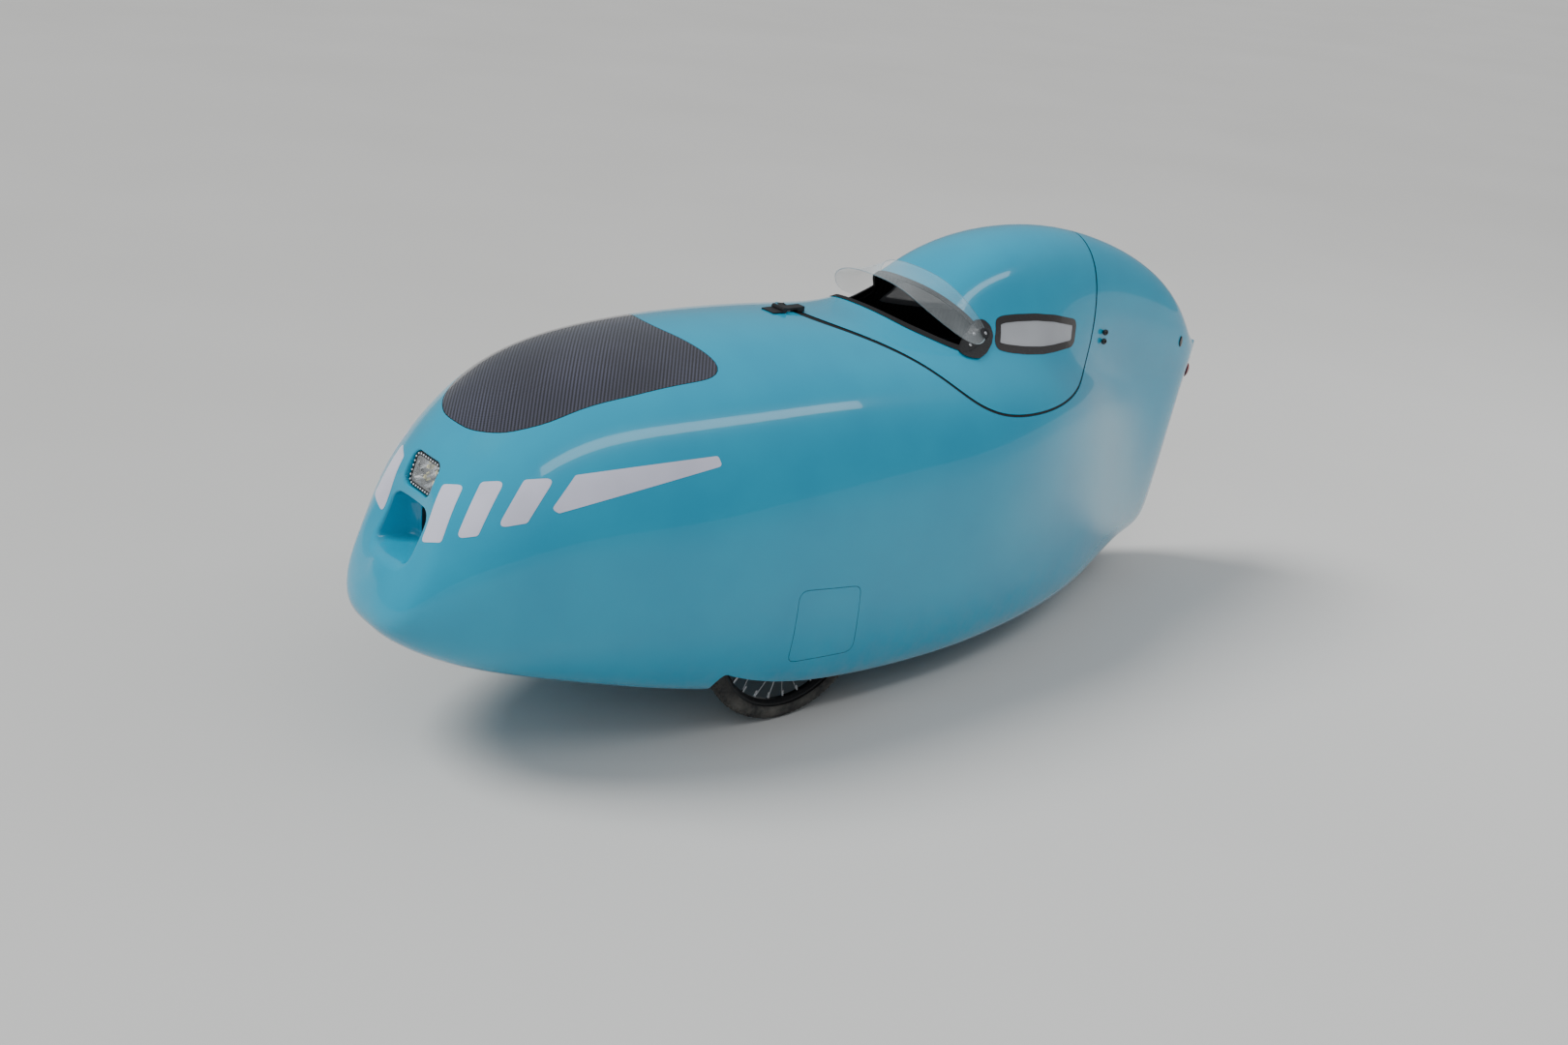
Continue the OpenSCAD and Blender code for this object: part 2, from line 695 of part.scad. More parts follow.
module visor_pivot(side) {
    color("#1b1b1d") one_mesh() {
        difference() {
            intersection() {
                on_side(side) pivot_post(36, -20, 40);
                skin(5.2);
            }
            outer_skin();
        }
        difference() {
            on_side(side) pivot_post(12, -2, 28);
            outer_skin();
        }
        difference() {
            on_side(side) pivot_post(26, 0, 28);
            skin(12);
        }
    }
}

// Two threaded inserts on the left of the hood, for a mirror or a flag
module accessory_inserts() {
    color("#1b1b1d") for (z = insert_z) translate([insert_x, insert_y, z]) rotate([-90, 0, 0])
        difference() {
            translate([0, 0, -14]) cylinder(d = 9, h = 18);
            translate([0, 0, -20]) cylinder(d = 5, h = 40);
        }
}

insert_s = 2012;
insert_x = at(insert_s, 0, 0)[0];
insert_z = [720 * height_ratio, 744 * height_ratio];
insert_y = side_y(insert_s, 732);

lower_shell();
upper_shell();
bonnet_panel();
service_hatch(1);  // left_service_hatch
service_hatch(-1);  // right_service_hatch
air_intake();
headlight_housing();
headlight_lens();
rear_light();
wheel_box(1);  // left_wheel_box
wheel_box(-1);  // right_wheel_box
rear_wheel_box();
strut(1);  // left_strut
strut(-1);  // right_strut
lower_arm(1);  // left_lower_arm
lower_arm(-1);  // right_lower_arm
rear_swing_arm();
seat_shell();
seat_pad();
seat_support();
headrest();
accessory_inserts();
tiller_bearing();
bottom_bracket_post();
hinge_base();
canopy_shell();
canopy_hinge();
side_window(1);  // left_side_window
side_window(-1);  // right_side_window
visor_seal();
visor();
visor_pivot(1);  // left_visor_pivot
visor_pivot(-1);  // right_visor_pivot
steering_tiller();
knuckle(1);  // left_knuckle
knuckle(-1);  // right_knuckle
tyre_at(front_x, wheel_y);  // left_front_tyre
front_wheel(1);  // left_front_wheel
tyre_at(front_x, -wheel_y);  // right_front_tyre
front_wheel(-1);  // right_front_wheel
tyre_at(rear_x, 0);  // rear_tyre
rear_wheel();
crankset();
pedal(1);  // left_pedal
pedal(-1);  // right_pedal
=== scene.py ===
import math

import bmesh
import bpy
import numpy as np
from mathutils import Matrix, Vector
from mathutils.bvhtree import BVHTree
from mathutils.interpolate import poly_3d_calc


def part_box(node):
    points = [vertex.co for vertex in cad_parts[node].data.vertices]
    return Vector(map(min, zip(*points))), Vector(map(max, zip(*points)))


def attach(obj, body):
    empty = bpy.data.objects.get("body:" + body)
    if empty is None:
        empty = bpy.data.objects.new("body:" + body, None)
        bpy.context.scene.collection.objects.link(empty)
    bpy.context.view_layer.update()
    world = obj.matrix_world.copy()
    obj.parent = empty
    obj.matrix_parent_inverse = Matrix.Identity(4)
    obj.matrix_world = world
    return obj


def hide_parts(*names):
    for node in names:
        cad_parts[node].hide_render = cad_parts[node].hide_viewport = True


bl_info = {
    "name": "Velomobile",
    "version": (1, 0, 0),
    "blender": (4, 5, 0),
    "location": "View3D > Sidebar > Velomobile",
    "description": "Dresses the velomobile's frame with its shell, glazing, lamp, wheels, seat and stage",
    "category": "Add Mesh",
}

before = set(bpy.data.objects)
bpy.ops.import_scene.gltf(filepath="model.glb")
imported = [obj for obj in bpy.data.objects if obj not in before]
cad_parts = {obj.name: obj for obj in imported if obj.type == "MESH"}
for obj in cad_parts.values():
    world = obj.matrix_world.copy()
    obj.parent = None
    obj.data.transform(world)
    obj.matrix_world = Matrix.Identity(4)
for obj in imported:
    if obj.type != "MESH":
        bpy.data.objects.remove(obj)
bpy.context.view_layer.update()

# ---------------------------------------------------------------- the body's shape

# Outlines are in millimetres, with distances along the vehicle run back from a line just ahead of the nose.
AHEAD_X = 1.290
# Each station: distance, lean per millimetre of height, keel, (half width, height) up one side, crown
STATIONS = [
    [43, 0.45, 385, [[10, 387], [20, 391], [28, 400], [28, 415], [22, 426], [16, 436], [8, 442]], 444],
    [58, 0.55, 318, [[50, 318], [94, 333], [135, 380], [126, 442], [94, 503], [63, 524], [34, 544]], 555],
    [72, 0.3, 280, [[74, 280], [127, 304], [160, 362], [154, 476], [120, 558], [80, 591], [40, 608]], 616],
    [167, 0.13, 225, [[134, 225], [210, 246], [260, 343], [252, 520], [190, 629], [126, 671], [71, 696]], 700],
    [364, 0, 176, [[205, 176], [284, 200], [340, 349], [331, 575], [252, 724], [172, 787], [98, 816]], 830],
    [585, 0, 130, [[265, 130], [345, 145], [400, 320], [385, 580], [300, 750], [200, 815], [110, 855]], 865],
    [815, 0, 110, [[290, 105], [380, 100], [415, 310], [395, 590], [310, 760], [200, 825], [110, 860]], 875],
    [1045, 0, 95, [[295, 92], [395, 75], [410, 300], [390, 600], [300, 765], [195, 820], [105, 855]], 862],
    [1255, 0, 95, [[295, 85], [395, 70], [400, 300], [380, 610], [290, 755], [190, 800], [105, 835]], 838],
    [1375, 0, 95, [[285, 85], [392, 70], [395, 300], [375, 615], [285, 750], [188, 795], [115, 870]], 880],
    [1505, 0, 95, [[275, 85], [380, 75], [380, 310], [365, 620], [280, 740], [185, 800], [135, 950]], 975],
    [1685, 0, 100, [[250, 90], [350, 80], [340, 320], [330, 620], [250, 710], [185, 790], [150, 975]], 1028],
    [1895, 0, 105, [[200, 100], [290, 90], [270, 320], [250, 590], [170, 660], [155, 760], [130, 955]], 1030],
    [2095, 0.05, 115, [[140, 110], [200, 110], [180, 310], [150, 520], [90, 600], [110, 700], [90, 890]], 970],
    [2275, 0.1, 120, [[85, 115], [120, 125], [105, 290], [80, 450], [60, 560], [80, 650], [60, 800]], 880],
    [2405, 0.15, 115, [[55, 110], [70, 120], [65, 270], [55, 430], [45, 540], [55, 620], [40, 720]], 760],
    [2480, 0.2, 135, [[35, 135], [40, 150], [40, 275], [35, 430], [30, 540], [35, 590], [25, 620]], 650],
    [2515, 0.2, 200, [[5, 200], [5, 215], [5, 310], [5, 430], [5, 540], [5, 590], [5, 620]], 630]]

CANOPY_SIDE = [[1000, 1000], [1010, 872], [1090, 852], [1180, 822], [1265, 782], [1330, 731], [1388, 688],
    [1460, 657], [1550, 641], [1680, 633], [1805, 636], [1905, 655], [1945, 705], [1960, 780], [1967, 860],
    [1969, 950], [1970, 1100], [1970, 1300], [1000, 1300]]
VISOR_SIDE = [[1235, 1000], [1235, 860], [1330, 818], [1425, 776], [1470, 780], [1500, 809], [1485, 844],
    [1395, 917], [1300, 1012]]
VISOR_SHEET = [[1262, 1012], [1262, 862], [1330, 818], [1420, 782], [1480, 787], [1512, 812], [1490, 842],
    [1395, 912], [1300, 1012]]
WINDOW_SIDE = [[1555, 835], [1576, 840], [1623, 839], [1694, 833], [1772, 820], [1862, 797], [1867, 785], [1858, 744],
    [1843, 738], [1761, 742], [1704, 747], [1630, 758], [1567, 770], [1531, 780], [1534, 792], [1549, 812]]
BONNET_PLAN = [[222, 55], [258, 125], [330, 172], [500, 205], [700, 218], [738, 200], [700, 105], [676, 35]]
HATCH_SIDE = [[832, 190], [836, 368], [1012, 345], [1014, 180]]
PIVOT_PLATE = [[1449, 815], [1490, 839], [1512, 839], [1527, 826], [1528, 808], [1514, 793], [1485, 779], [1451, 772],
    [1424, 777], [1404, 785]]

SPLIT_Z = 400
# How far cutting tools reach out from the middle, and where they start so that only one side is cut, in metres
FAR = 0.7
HATCH_NEAR, WINDOW_NEAR = 0.15, 0.06
BONNET_SPAN = (0.5, 1.3)
# A plan outline wider than the whole body
WHOLE_PLAN = [(-200, -700), (2800, -700), (2800, 700), (-200, 700)]
PIVOT = (1500, 809)
VISOR_RAISE = 17
LAMP = (165, 599, 18)
INTAKE_Z = 494
# The wheels' distances, half the track and the wheel's radius in metres, and the front wheels' turn in degrees
FRONT_S, REAR_S = 905, 2140
TRACK_HALF, WHEEL_R = 0.300, 0.235
STEER_TURN = 12

CAMERA_PLACE = (2.6889, 2.9604, 1.9097)
CAMERA_TURN = (-2.2744, -0.3879, 0.1026)

# Marks on each side of the nose: corners as [distance, half width, height]
BARS = [
    [[151, 84, 611], [173, 130, 622], [117, 145, 514], [102, 85, 495]],
    [[196, 155, 634], [230, 189, 643], [167, 200, 541], [136, 168, 528]],
    [[259, 212, 649], [310, 244, 656], [247, 250, 573], [197, 219, 559]],
    [[346, 260, 662], [640, 330, 682], [646, 339, 662], [303, 272, 592], [292, 265, 601]]]

# The skin's grid: points round the body, rows from one station to the next, control points in a station's ring, and
# the last station with an inside wall
COLUMNS = 160
FINE = 8
RING = 16
INNER_END = 16.5
ROWS = [0.0] + [0.5 + k / FINE for k in range(len(STATIONS) * FINE + 1)] + [len(STATIONS) + 1.0]
# Facing below this, a face is a cut edge and not the skin
EDGE_FACING = 0.88


def at(s, y, z):
    return Vector((AHEAD_X - s / 1000, y / 1000, z / 1000))


def weights(f):
    return np.array([(1 - f) ** 3, 3 * f ** 3 - 6 * f * f + 4, -3 * f ** 3 + 3 * f * f + 3 * f + 1, f ** 3]) / 6


def control_net():
    net = []
    for s, lean, keel, half, crown in STATIONS:
        side = [[0, keel]] + half + [[0, crown]]
        ring = side + [[-y, z] for y, z in side[-2:0:-1]]
        net.append([tuple(at(s + lean * (z - 400), y, z)) for y, z in ring])
    return np.array(net)


def skin_grid():
    """Points and outward normals of the body's outside, row by row from the nose."""
    net = control_net()
    last = len(net) - 1
    along = np.zeros((len(ROWS), len(net)))
    for i, u in enumerate(ROWS):
        base = int(math.floor(u))
        for k, w in enumerate(weights(u - base)):
            along[i, min(max(base + k - 2, 0), last)] += w
    around = np.zeros((COLUMNS, RING))
    for j in range(COLUMNS):
        v = j * RING / COLUMNS
        base = int(math.floor(v))
        for k, w in enumerate(weights(v - base)):
            around[j, (base + k - 1) % RING] += w
    points = np.einsum("ia,jb,abc->ijc", along, around, net)
    rowwise = np.gradient(points, axis=0)
    ringwise = np.roll(points, -1, 1) - np.roll(points, 1, 1)
    normals = np.cross(rowwise, ringwise)
    normals /= np.maximum(np.linalg.norm(normals, axis=2, keepdims=True), 1e-9)
    return points, normals


SKIN, NORMALS = skin_grid()
INNER_LAST = max(i for i, u in enumerate(ROWS) if u <= INNER_END)


def smooth_loop(control, steps=8):
    """A closed cubic curve shaped by its control points."""
    n = len(control)
    pts = np.array(control, float)
    return [tuple(weights(q / steps) @ pts[[(i + n - 1) % n, i, (i + 1) % n, (i + 2) % n]])
            for i in range(n) for q in range(steps)]


def fillet(loop, radius, steps=6):
    """Rounds every corner of a closed loop with an arc."""
    out = []
    n = len(loop)
    for i in range(n):
        a, b, c = (np.array(loop[(i + k) % n], float) for k in (-1, 0, 1))
        u, v = (a - b) / np.linalg.norm(a - b), (c - b) / np.linalg.norm(c - b)
        half = math.acos(max(-1, min(1, float(u @ v)))) / 2
        reach = min(radius / math.tan(half), 0.48 * min(np.linalg.norm(a - b), np.linalg.norm(c - b)))
        for k in range(steps + 1):
            t = k / steps
            out.append(tuple(b + u * reach * (1 - t) ** 2 + v * reach * t ** 2))
    return out


def grow(loop, d):
    """Moves a closed loop outwards by d."""
    pts = np.array(loop, float)
    area = 0.5 * np.sum(pts[:, 0] * np.roll(pts[:, 1], -1) - np.roll(pts[:, 0], -1) * pts[:, 1])
    e = np.roll(pts, -1, 0) - pts
    e /= np.maximum(np.linalg.norm(e, axis=1, keepdims=True), 1e-9)
    normal = np.stack([e[:, 1], -e[:, 0]], 1) * (1 if area > 0 else -1)
    mean = normal + np.roll(normal, 1, 0)
    mean /= np.maximum((mean ** 2).sum(1, keepdims=True), 0.5) / 2
    return [tuple(p) for p in pts + d * mean]


def rounded_box(wide, high, radius, steps=8):
    out = []
    for cx, cy, start in ((1, 1, 0), (-1, 1, 90), (-1, -1, 180), (1, -1, 270)):
        for k in range(steps + 1):
            a = math.radians(start + 90 * k / steps)
            out.append((cx * (wide / 2 - radius) + radius * math.cos(a),
                        cy * (high / 2 - radius) + radius * math.sin(a)))
    return out


def eased(loop, step, reach):
    """Evenly spaced points along a closed loop, with small kinks smoothed away."""
    pts = np.array(loop + loop[:1], float)
    gone = np.concatenate([[0], np.cumsum(np.linalg.norm(np.diff(pts, axis=0), axis=1))])
    count = int(gone[-1] / step)
    marks = np.arange(count) * gone[-1] / count
    even = np.stack([np.interp(marks, gone, pts[:, k]) for k in (0, 1)], 1)
    spread = range(-int(reach * 3 / step), int(reach * 3 / step) + 1)
    share = np.array([math.exp(-0.5 * (k * step / reach) ** 2) for k in spread])
    soft = sum(w * np.roll(even, k, 0) for k, w in zip(spread, share / share.sum()))
    return grow([tuple(p) for p in soft], 2)


def divided(loop, step):
    """Adds points along the straight runs of a closed loop."""
    out = []
    for a, b in zip(loop, loop[1:] + loop[:1]):
        parts = max(1, int(math.dist(a, b) / step))
        out += [(a[0] + (b[0] - a[0]) * k / parts, a[1] + (b[1] - a[1]) * k / parts) for k in range(parts)]
    return out


CANOPY_LOOP = smooth_loop(CANOPY_SIDE, 6)
VISOR_LOOP = smooth_loop(VISOR_SIDE, 8)
WINDOW_LOOP = eased([tuple(p) for p in WINDOW_SIDE], 5, 6)
HATCH_LOOP = fillet(HATCH_SIDE, 24, 8)
BONNET_CORNERS = [tuple(p) for p in BONNET_PLAN] + [(s, -y) for s, y in reversed(BONNET_PLAN)]
BONNET_LOOP = eased(fillet(BONNET_CORNERS, 45, 8), 14, 26)
LAMP_LOOP = divided(rounded_box(108, 76, 20, 10), 4)
INTAKE_LOOP = divided([(y, z + 1) for y, z in rounded_box(142, 108, 24, 12)], 4)

# ---------------------------------------------------------------- mesh helpers


def new_object(name, verts, faces, materials=(), indices=None, smooth=True):
    mesh = bpy.data.meshes.new(name)
    mesh.from_pydata([tuple(v) for v in verts], [], [tuple(f) for f in faces])
    for material in materials:
        mesh.materials.append(material)
    if indices is not None:
        mesh.polygons.foreach_set("material_index", np.array(indices, np.int32))
    mesh.polygons.foreach_set("use_smooth", np.full(len(mesh.polygons), smooth))
    mesh.update()
    obj = bpy.data.objects.new(name, mesh)
    bpy.context.scene.collection.objects.link(obj)
    return obj


def take_result(obj):
    """Turns an object's modifiers into plain mesh."""
    graph = bpy.context.evaluated_depsgraph_get()
    graph.update()
    result = bpy.data.meshes.new_from_object(obj.evaluated_get(graph), preserve_all_data_layers=True, depsgraph=graph)
    old = obj.data
    obj.modifiers.clear()
    obj.data = result
    if old.users == 0:
        bpy.data.meshes.remove(old)
    return obj


def discard(obj):
    mesh = obj.data
    bpy.data.objects.remove(obj)
    if mesh.users == 0:
        bpy.data.meshes.remove(mesh)


def combine(obj, other, operation):
    tool = obj.modifiers.new("combine", "BOOLEAN")
    tool.operation = operation
    tool.object = other
    tool.solver = "MANIFOLD"
    take_result(obj)
    discard(other)
    if len(obj.data.polygons) == 0:
        raise RuntimeError(obj.name + " came out empty")
    return obj


def ring_faces(count, flip=False, offset=0):
    """Quads between rows of a closed grid, facing outwards."""
    out = []
    for i in range(count - 1):
        for j in range(COLUMNS):
            a = offset + i * COLUMNS + j
            b = offset + i * COLUMNS + (j + 1) % COLUMNS
            quad = (a, a + COLUMNS, b + COLUMNS, b)
            out.append(quad[::-1] if flip else quad)
    return out


def end_faces(offset, flip):
    """Closes one ring straight across from side to side."""
    out = []
    for j in range(COLUMNS // 2):
        quad = [j, j + 1, (COLUMNS - j - 1) % COLUMNS, (COLUMNS - j) % COLUMNS]
        quad = [offset + k for i, k in enumerate(quad) if k not in quad[:i]]
        out.append(tuple(quad[::-1] if flip else quad))
    return out


def layer(name, outside, inside, materials, s_range=None):
    """A closed layer of the body between two depths, in millimetres outwards from the skin."""
    if s_range:
        mid = COLUMNS // 4
        s_of = [(AHEAD_X - SKIN[i, mid, 0]) * 1000 for i in range(len(ROWS))]
        first = max([i for i, s in enumerate(s_of) if s <= s_range[0]], default=0)
        last = min([i for i, s in enumerate(s_of) if s >= s_range[1]], default=len(ROWS) - 1)
        spans = [(first, last), (first, last)]
    else:
        spans = [(0, len(ROWS) - 1), (0, INNER_LAST)]
    verts, faces, indices = [], [], []
    for depth, (a, b), flip, index in ((outside, spans[0], False, 0), (inside, spans[1], True, 1)):
        base = len(verts)
        block = SKIN[a:b + 1] + NORMALS[a:b + 1] * depth / 1000
        verts += [tuple(p) for p in block.reshape(-1, 3)]
        fresh = ring_faces(b - a + 1, flip, base)
        if not s_range:
            fresh += end_faces(base, flip) + end_faces(base + (b - a) * COLUMNS, not flip)
        faces += fresh
        indices += [index] * len(fresh)
    if s_range:
        count = spans[0][1] - spans[0][0] + 1
        inner = count * COLUMNS
        for j in range(COLUMNS):
            k = (j + 1) % COLUMNS
            faces.append((j, k, inner + k, inner + j))
            tail = (count - 1) * COLUMNS
            faces.append((inner + tail + j, inner + tail + k, tail + k, tail + j))
            indices += [2, 2]
    return new_object(name, verts, faces, materials, indices)


AXES = {
    "side": (Vector((AHEAD_X, 0, 0)), Vector((-1, 0, 0)), Vector((0, 0, 1))),
    "plan": (Vector((AHEAD_X, 0, 0)), Vector((-1, 0, 0)), Vector((0, -1, 0))),
}


def lamp_axes():
    s, z, tilt = LAMP
    a = math.radians(tilt)
    return at(s, 0, z), Vector((0, 1, 0)), Vector((-math.sin(a), 0, math.cos(a)))


def prism(loops, axes, low, high, materials, index=2):
    """Closed prisms from loops in millimetres, from low to high metres along the axis of their plane."""
    origin, right, up = AXES[axes] if isinstance(axes, str) else axes
    axis = right.cross(up)
    verts, faces = [], []
    for loop in loops:
        pts = np.array(loop, float)
        area = np.sum(pts[:, 0] * np.roll(pts[:, 1], -1) - np.roll(pts[:, 0], -1) * pts[:, 1])
        if area < 0:
            pts = pts[::-1]
        base, n = len(verts), len(pts)
        for level in (low, high):
            verts += [origin + right * (p[0] / 1000) + up * (p[1] / 1000) + axis * level for p in pts]
        faces.append(tuple(base + k for k in reversed(range(n))))
        faces.append(tuple(base + n + k for k in range(n)))
        faces += [(base + k, base + (k + 1) % n, base + n + (k + 1) % n, base + n + k) for k in range(n)]
    return new_object("tool", verts, faces, materials, [index] * len(faces), smooth=False)


def cut_away(obj, loop, *where):
    """Cuts a prism of one outline out of a piece."""
    return combine(obj, prism([loop], *where), "DIFFERENCE")


def keep_inside(obj, loop, *where):
    """Keeps the part of a piece that lies inside a prism of one outline."""
    return combine(obj, prism([loop], *where), "INTERSECT")


def side_span(side, near):
    """From near to far out on one side of the body, in metres across it."""
    return (near, FAR) if side > 0 else (-FAR, -near)


def row_faces(rows, count, first=0):
    """Quads between neighbouring closed rows of points, with count points in each row."""
    return [(a + k, a + (k + 1) % count, a + count + (k + 1) % count, a + count + k)
            for a in range(first, first + (rows - 1) * count, count) for k in range(count)]


def cylinder_rows(centre, axis, profile, sides=32, closed=True):
    """A turned shape: profile rows of (distance along axis, radius)."""
    axis = Vector(axis).normalized()
    side = axis.orthogonal().normalized()
    other = axis.cross(side)
    verts = []
    for along, radius in profile:
        for k in range(sides):
            a = 2 * math.pi * k / sides
            verts.append(Vector(centre) + axis * along + (side * math.cos(a) + other * math.sin(a)) * radius)
    faces = row_faces(len(profile), sides)
    if closed:
        faces.append(tuple(reversed(range(sides))))
        top = (len(profile) - 1) * sides
        faces.append(tuple(top + k for k in range(sides)))
    return verts, faces


class SkinLookup:
    """Finds the body's outside nearest to a point, or along a line."""

    def __init__(self):
        verts = [tuple(p) for p in SKIN.reshape(-1, 3)]
        self.faces = ring_faces(len(ROWS)) + end_faces(0, False) + end_faces((len(ROWS) - 1) * COLUMNS, True)
        self.verts = [Vector(v) for v in verts]
        self.normals = [Vector(n) for n in NORMALS.reshape(-1, 3)]
        self.tree = BVHTree.FromPolygons(verts, self.faces)

    def smooth(self, place, face):
        ids = self.faces[face]
        share = poly_3d_calc([self.verts[i] for i in ids], place)
        total = Vector((0, 0, 0))
        for i, w in zip(ids, share):
            total += self.normals[i] * w
        return total.normalized()

    def nearest(self, point):
        place, _, face, _ = self.tree.find_nearest(point)
        return place, self.smooth(place, face)

    def along(self, start, direction):
        place, _, face, _ = self.tree.ray_cast(start, direction)
        if place is None:
            raise RuntimeError("no skin in that direction")
        return place, self.smooth(place, face)


LOOKUP = SkinLookup()


def follow_skin(obj):
    """Shades a cut panel with the normals of the uncut skin, so its reflections run on across the joints."""
    mesh = obj.data
    known = {}
    normals = [None] * len(mesh.loops)
    for poly in mesh.polygons:
        facing = LOOKUP.nearest(poly.center)[1].dot(poly.normal)
        for i in poly.loop_indices:
            if abs(facing) < EDGE_FACING:
                normals[i] = poly.normal.copy()
                continue
            v = mesh.loops[i].vertex_index
            if v not in known:
                known[v] = LOOKUP.nearest(mesh.vertices[v].co)[1]
            normals[i] = known[v] if facing > 0 else -known[v]
    shade_all(mesh)
    mesh.normals_split_custom_set(normals)
    return obj


def shade_all(mesh):
    mesh.polygons.foreach_set("use_smooth", np.full(len(mesh.polygons), True))


def point_values(mesh, what="co"):
    """Each vertex's place, or its normal, as rows of three."""
    values = np.zeros(len(mesh.vertices) * 3)
    mesh.vertices.foreach_get(what, values)
    return values.reshape(-1, 3)


def soften(obj, angle=35):
    """Smooth shading that keeps real edges sharp."""
    mesh = obj.data
    shade_all(mesh)
    mesh.set_sharp_from_angle(angle=math.radians(angle))
    return obj


def tidy(obj):
    """Merges doubles and turns the faces outwards."""
    work = bmesh.new()
    work.from_mesh(obj.data)
    bmesh.ops.remove_doubles(work, verts=work.verts, dist=1e-5)
    bmesh.ops.recalc_face_normals(work, faces=work.faces)
    work.to_mesh(obj.data)
    work.free()
    return obj


def place_piece(obj, body, slot, *replaced):
    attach(obj, body)
    if replaced:
        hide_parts(*replaced)
    return obj


# ---------------------------------------------------------------- shader groups and materials


class Nodes:
    """Short hand for building one node tree."""

    def __init__(self, tree):
        self.tree = tree

    def add(self, kind, values=None, **settings):
        node = self.tree.nodes.new(kind)
        for key, value in settings.items():
            setattr(node, key, value)
        for key, value in (values or {}).items():
            self.join(value, node.inputs[key])
        return node

    def join(self, value, socket):
        if isinstance(value, bpy.types.NodeSocket):
            self.tree.links.new(value, socket)
        else:
            socket.default_value = value

    def math(self, operation, a, b=0.0, clamp=False):
        node = self.add("ShaderNodeMath", {0: a, 1: b}, operation=operation, use_clamp=clamp)
        return node.outputs[0]

    def colour(self, factor, a, b):
        node = self.add("ShaderNodeMix", {0: factor, 6: a, 7: b}, data_type="RGBA")
        return node.outputs[2]

    def value(self, factor, a, b):
        node = self.add("ShaderNodeMix", {0: factor, 2: a, 3: b}, data_type="FLOAT")
        return node.outputs[0]

    def noise(self, vector, scale, detail=2.0, roughness=0.5):
        values = {"Vector": vector, "Scale": scale, "Detail": detail, "Roughness": roughness}
        return self.add("ShaderNodeTexNoise", values).outputs[0]

    def span(self, value, low, high):
        return self.add("ShaderNodeMapRange", {0: value, 1: low, 2: high}).outputs[0]

    def grain(self, vector, scale):
        return self.add("ShaderNodeGroup", {"Vector": vector, "Scale": scale}, node_tree=grain_group()).outputs

    def road_dust(self, vector, amount, top=0.35):
        values = {"Vector": vector, "Amount": amount, "Top": top}
        return self.add("ShaderNodeGroup", values, node_tree=road_dust_group()).outputs

    def twill(self, vector, tow):
        return self.add("ShaderNodeGroup", {"Vector": vector, "Tow": tow}, node_tree=twill_group()).outputs


def shader_group(name, inputs, outputs, build):
    tree = bpy.data.node_groups.get(name)
    if tree:
        return tree
    tree = bpy.data.node_groups.new(name, "ShaderNodeTree")
    for label, kind, default in inputs:
        socket = tree.interface.new_socket(name=label, in_out="INPUT", socket_type=kind)
        if default is not None:
            socket.default_value = default
    for label, kind in outputs:
        tree.interface.new_socket(name=label, in_out="OUTPUT", socket_type=kind)
    nodes = Nodes(tree)
    source = nodes.add("NodeGroupInput")
    target = nodes.add("NodeGroupOutput")
    for label, socket in build(nodes, source.outputs).items():
        nodes.join(socket, target.inputs[label])
    return tree


def grain_group():
    """Fine surface grain and slow blotches, as on moulded or painted goods."""

    def build(n, source):
        fine = n.noise(source["Vector"], source["Scale"], 3.0, 0.6)
        slow = n.noise(source["Vector"], 6.0, 2.0)
        return {"Height": fine, "Blotch": n.span(slow, 0.35, 0.65)}

    return shader_group("Grain", [("Vector", "NodeSocketVector", None), ("Scale", "NodeSocketFloat", 400.0)],
                        [("Height", "NodeSocketFloat"), ("Blotch", "NodeSocketFloat")], build)


def road_dust_group():
    """Dust that thickens towards the floor, and fine scuffs."""

    def build(n, source):
        z = n.add("ShaderNodeSeparateXYZ", {0: source["Vector"]}).outputs[2]
        low = n.span(z, source["Top"], 0.04)
        patchy = n.span(n.noise(source["Vector"], 22.0, 5.0, 0.65), 0.35, 0.75)
        dust = n.math("MULTIPLY", low, n.math("MULTIPLY", patchy, source["Amount"]), clamp=True)
        scuff = n.span(n.noise(source["Vector"], 160.0, 2.0), 0.62, 0.75)
        return {"Dust": dust, "Scuff": scuff}

    return shader_group("Road dust", [("Vector", "NodeSocketVector", None), ("Top", "NodeSocketFloat", 0.35),
                                      ("Amount", "NodeSocketFloat", 0.3)],
                        [("Dust", "NodeSocketFloat"), ("Scuff", "NodeSocketFloat")], build)


def twill_group():
    """Two over two twill from a pair of surface coordinates."""

    def build(n, source):
        parts = n.add("ShaderNodeSeparateXYZ", {0: source["Vector"]}).outputs
        across = n.math("DIVIDE", parts[0], source["Tow"])
        along = n.math("DIVIDE", parts[1], source["Tow"])
        step = n.math("ADD", n.math("FLOOR", across), n.math("FLOOR", along))
        over = n.math("LESS_THAN", n.math("FLOORED_MODULO", step, 4.0), 2.0)
        warp = n.math("SINE", n.math("MULTIPLY", n.math("FRACT", across), math.pi))
        weft = n.math("SINE", n.math("MULTIPLY", n.math("FRACT", along), math.pi))
        return {"Over": over, "Height": n.value(over, weft, warp)}

    return shader_group("Twill", [("Vector", "NodeSocketVector", None), ("Tow", "NodeSocketFloat", 0.0025)],
                        [("Over", "NodeSocketFloat"), ("Height", "NodeSocketFloat")], build)


def base_material(name):
    found = bpy.data.materials.get(name)
    if found:
        return found, None, None, None
    material = bpy.data.materials.new(name)
    material.use_nodes = True
    tree = material.node_tree
    tree.nodes.clear()
    n = Nodes(tree)
    out = n.add("ShaderNodeOutputMaterial")
    shader = n.add("ShaderNodeBsdfPrincipled")
    tree.links.new(shader.outputs[0], out.inputs[0])
    place = n.add("ShaderNodeTexCoord").outputs["Object"]
    return material, n, shader, place


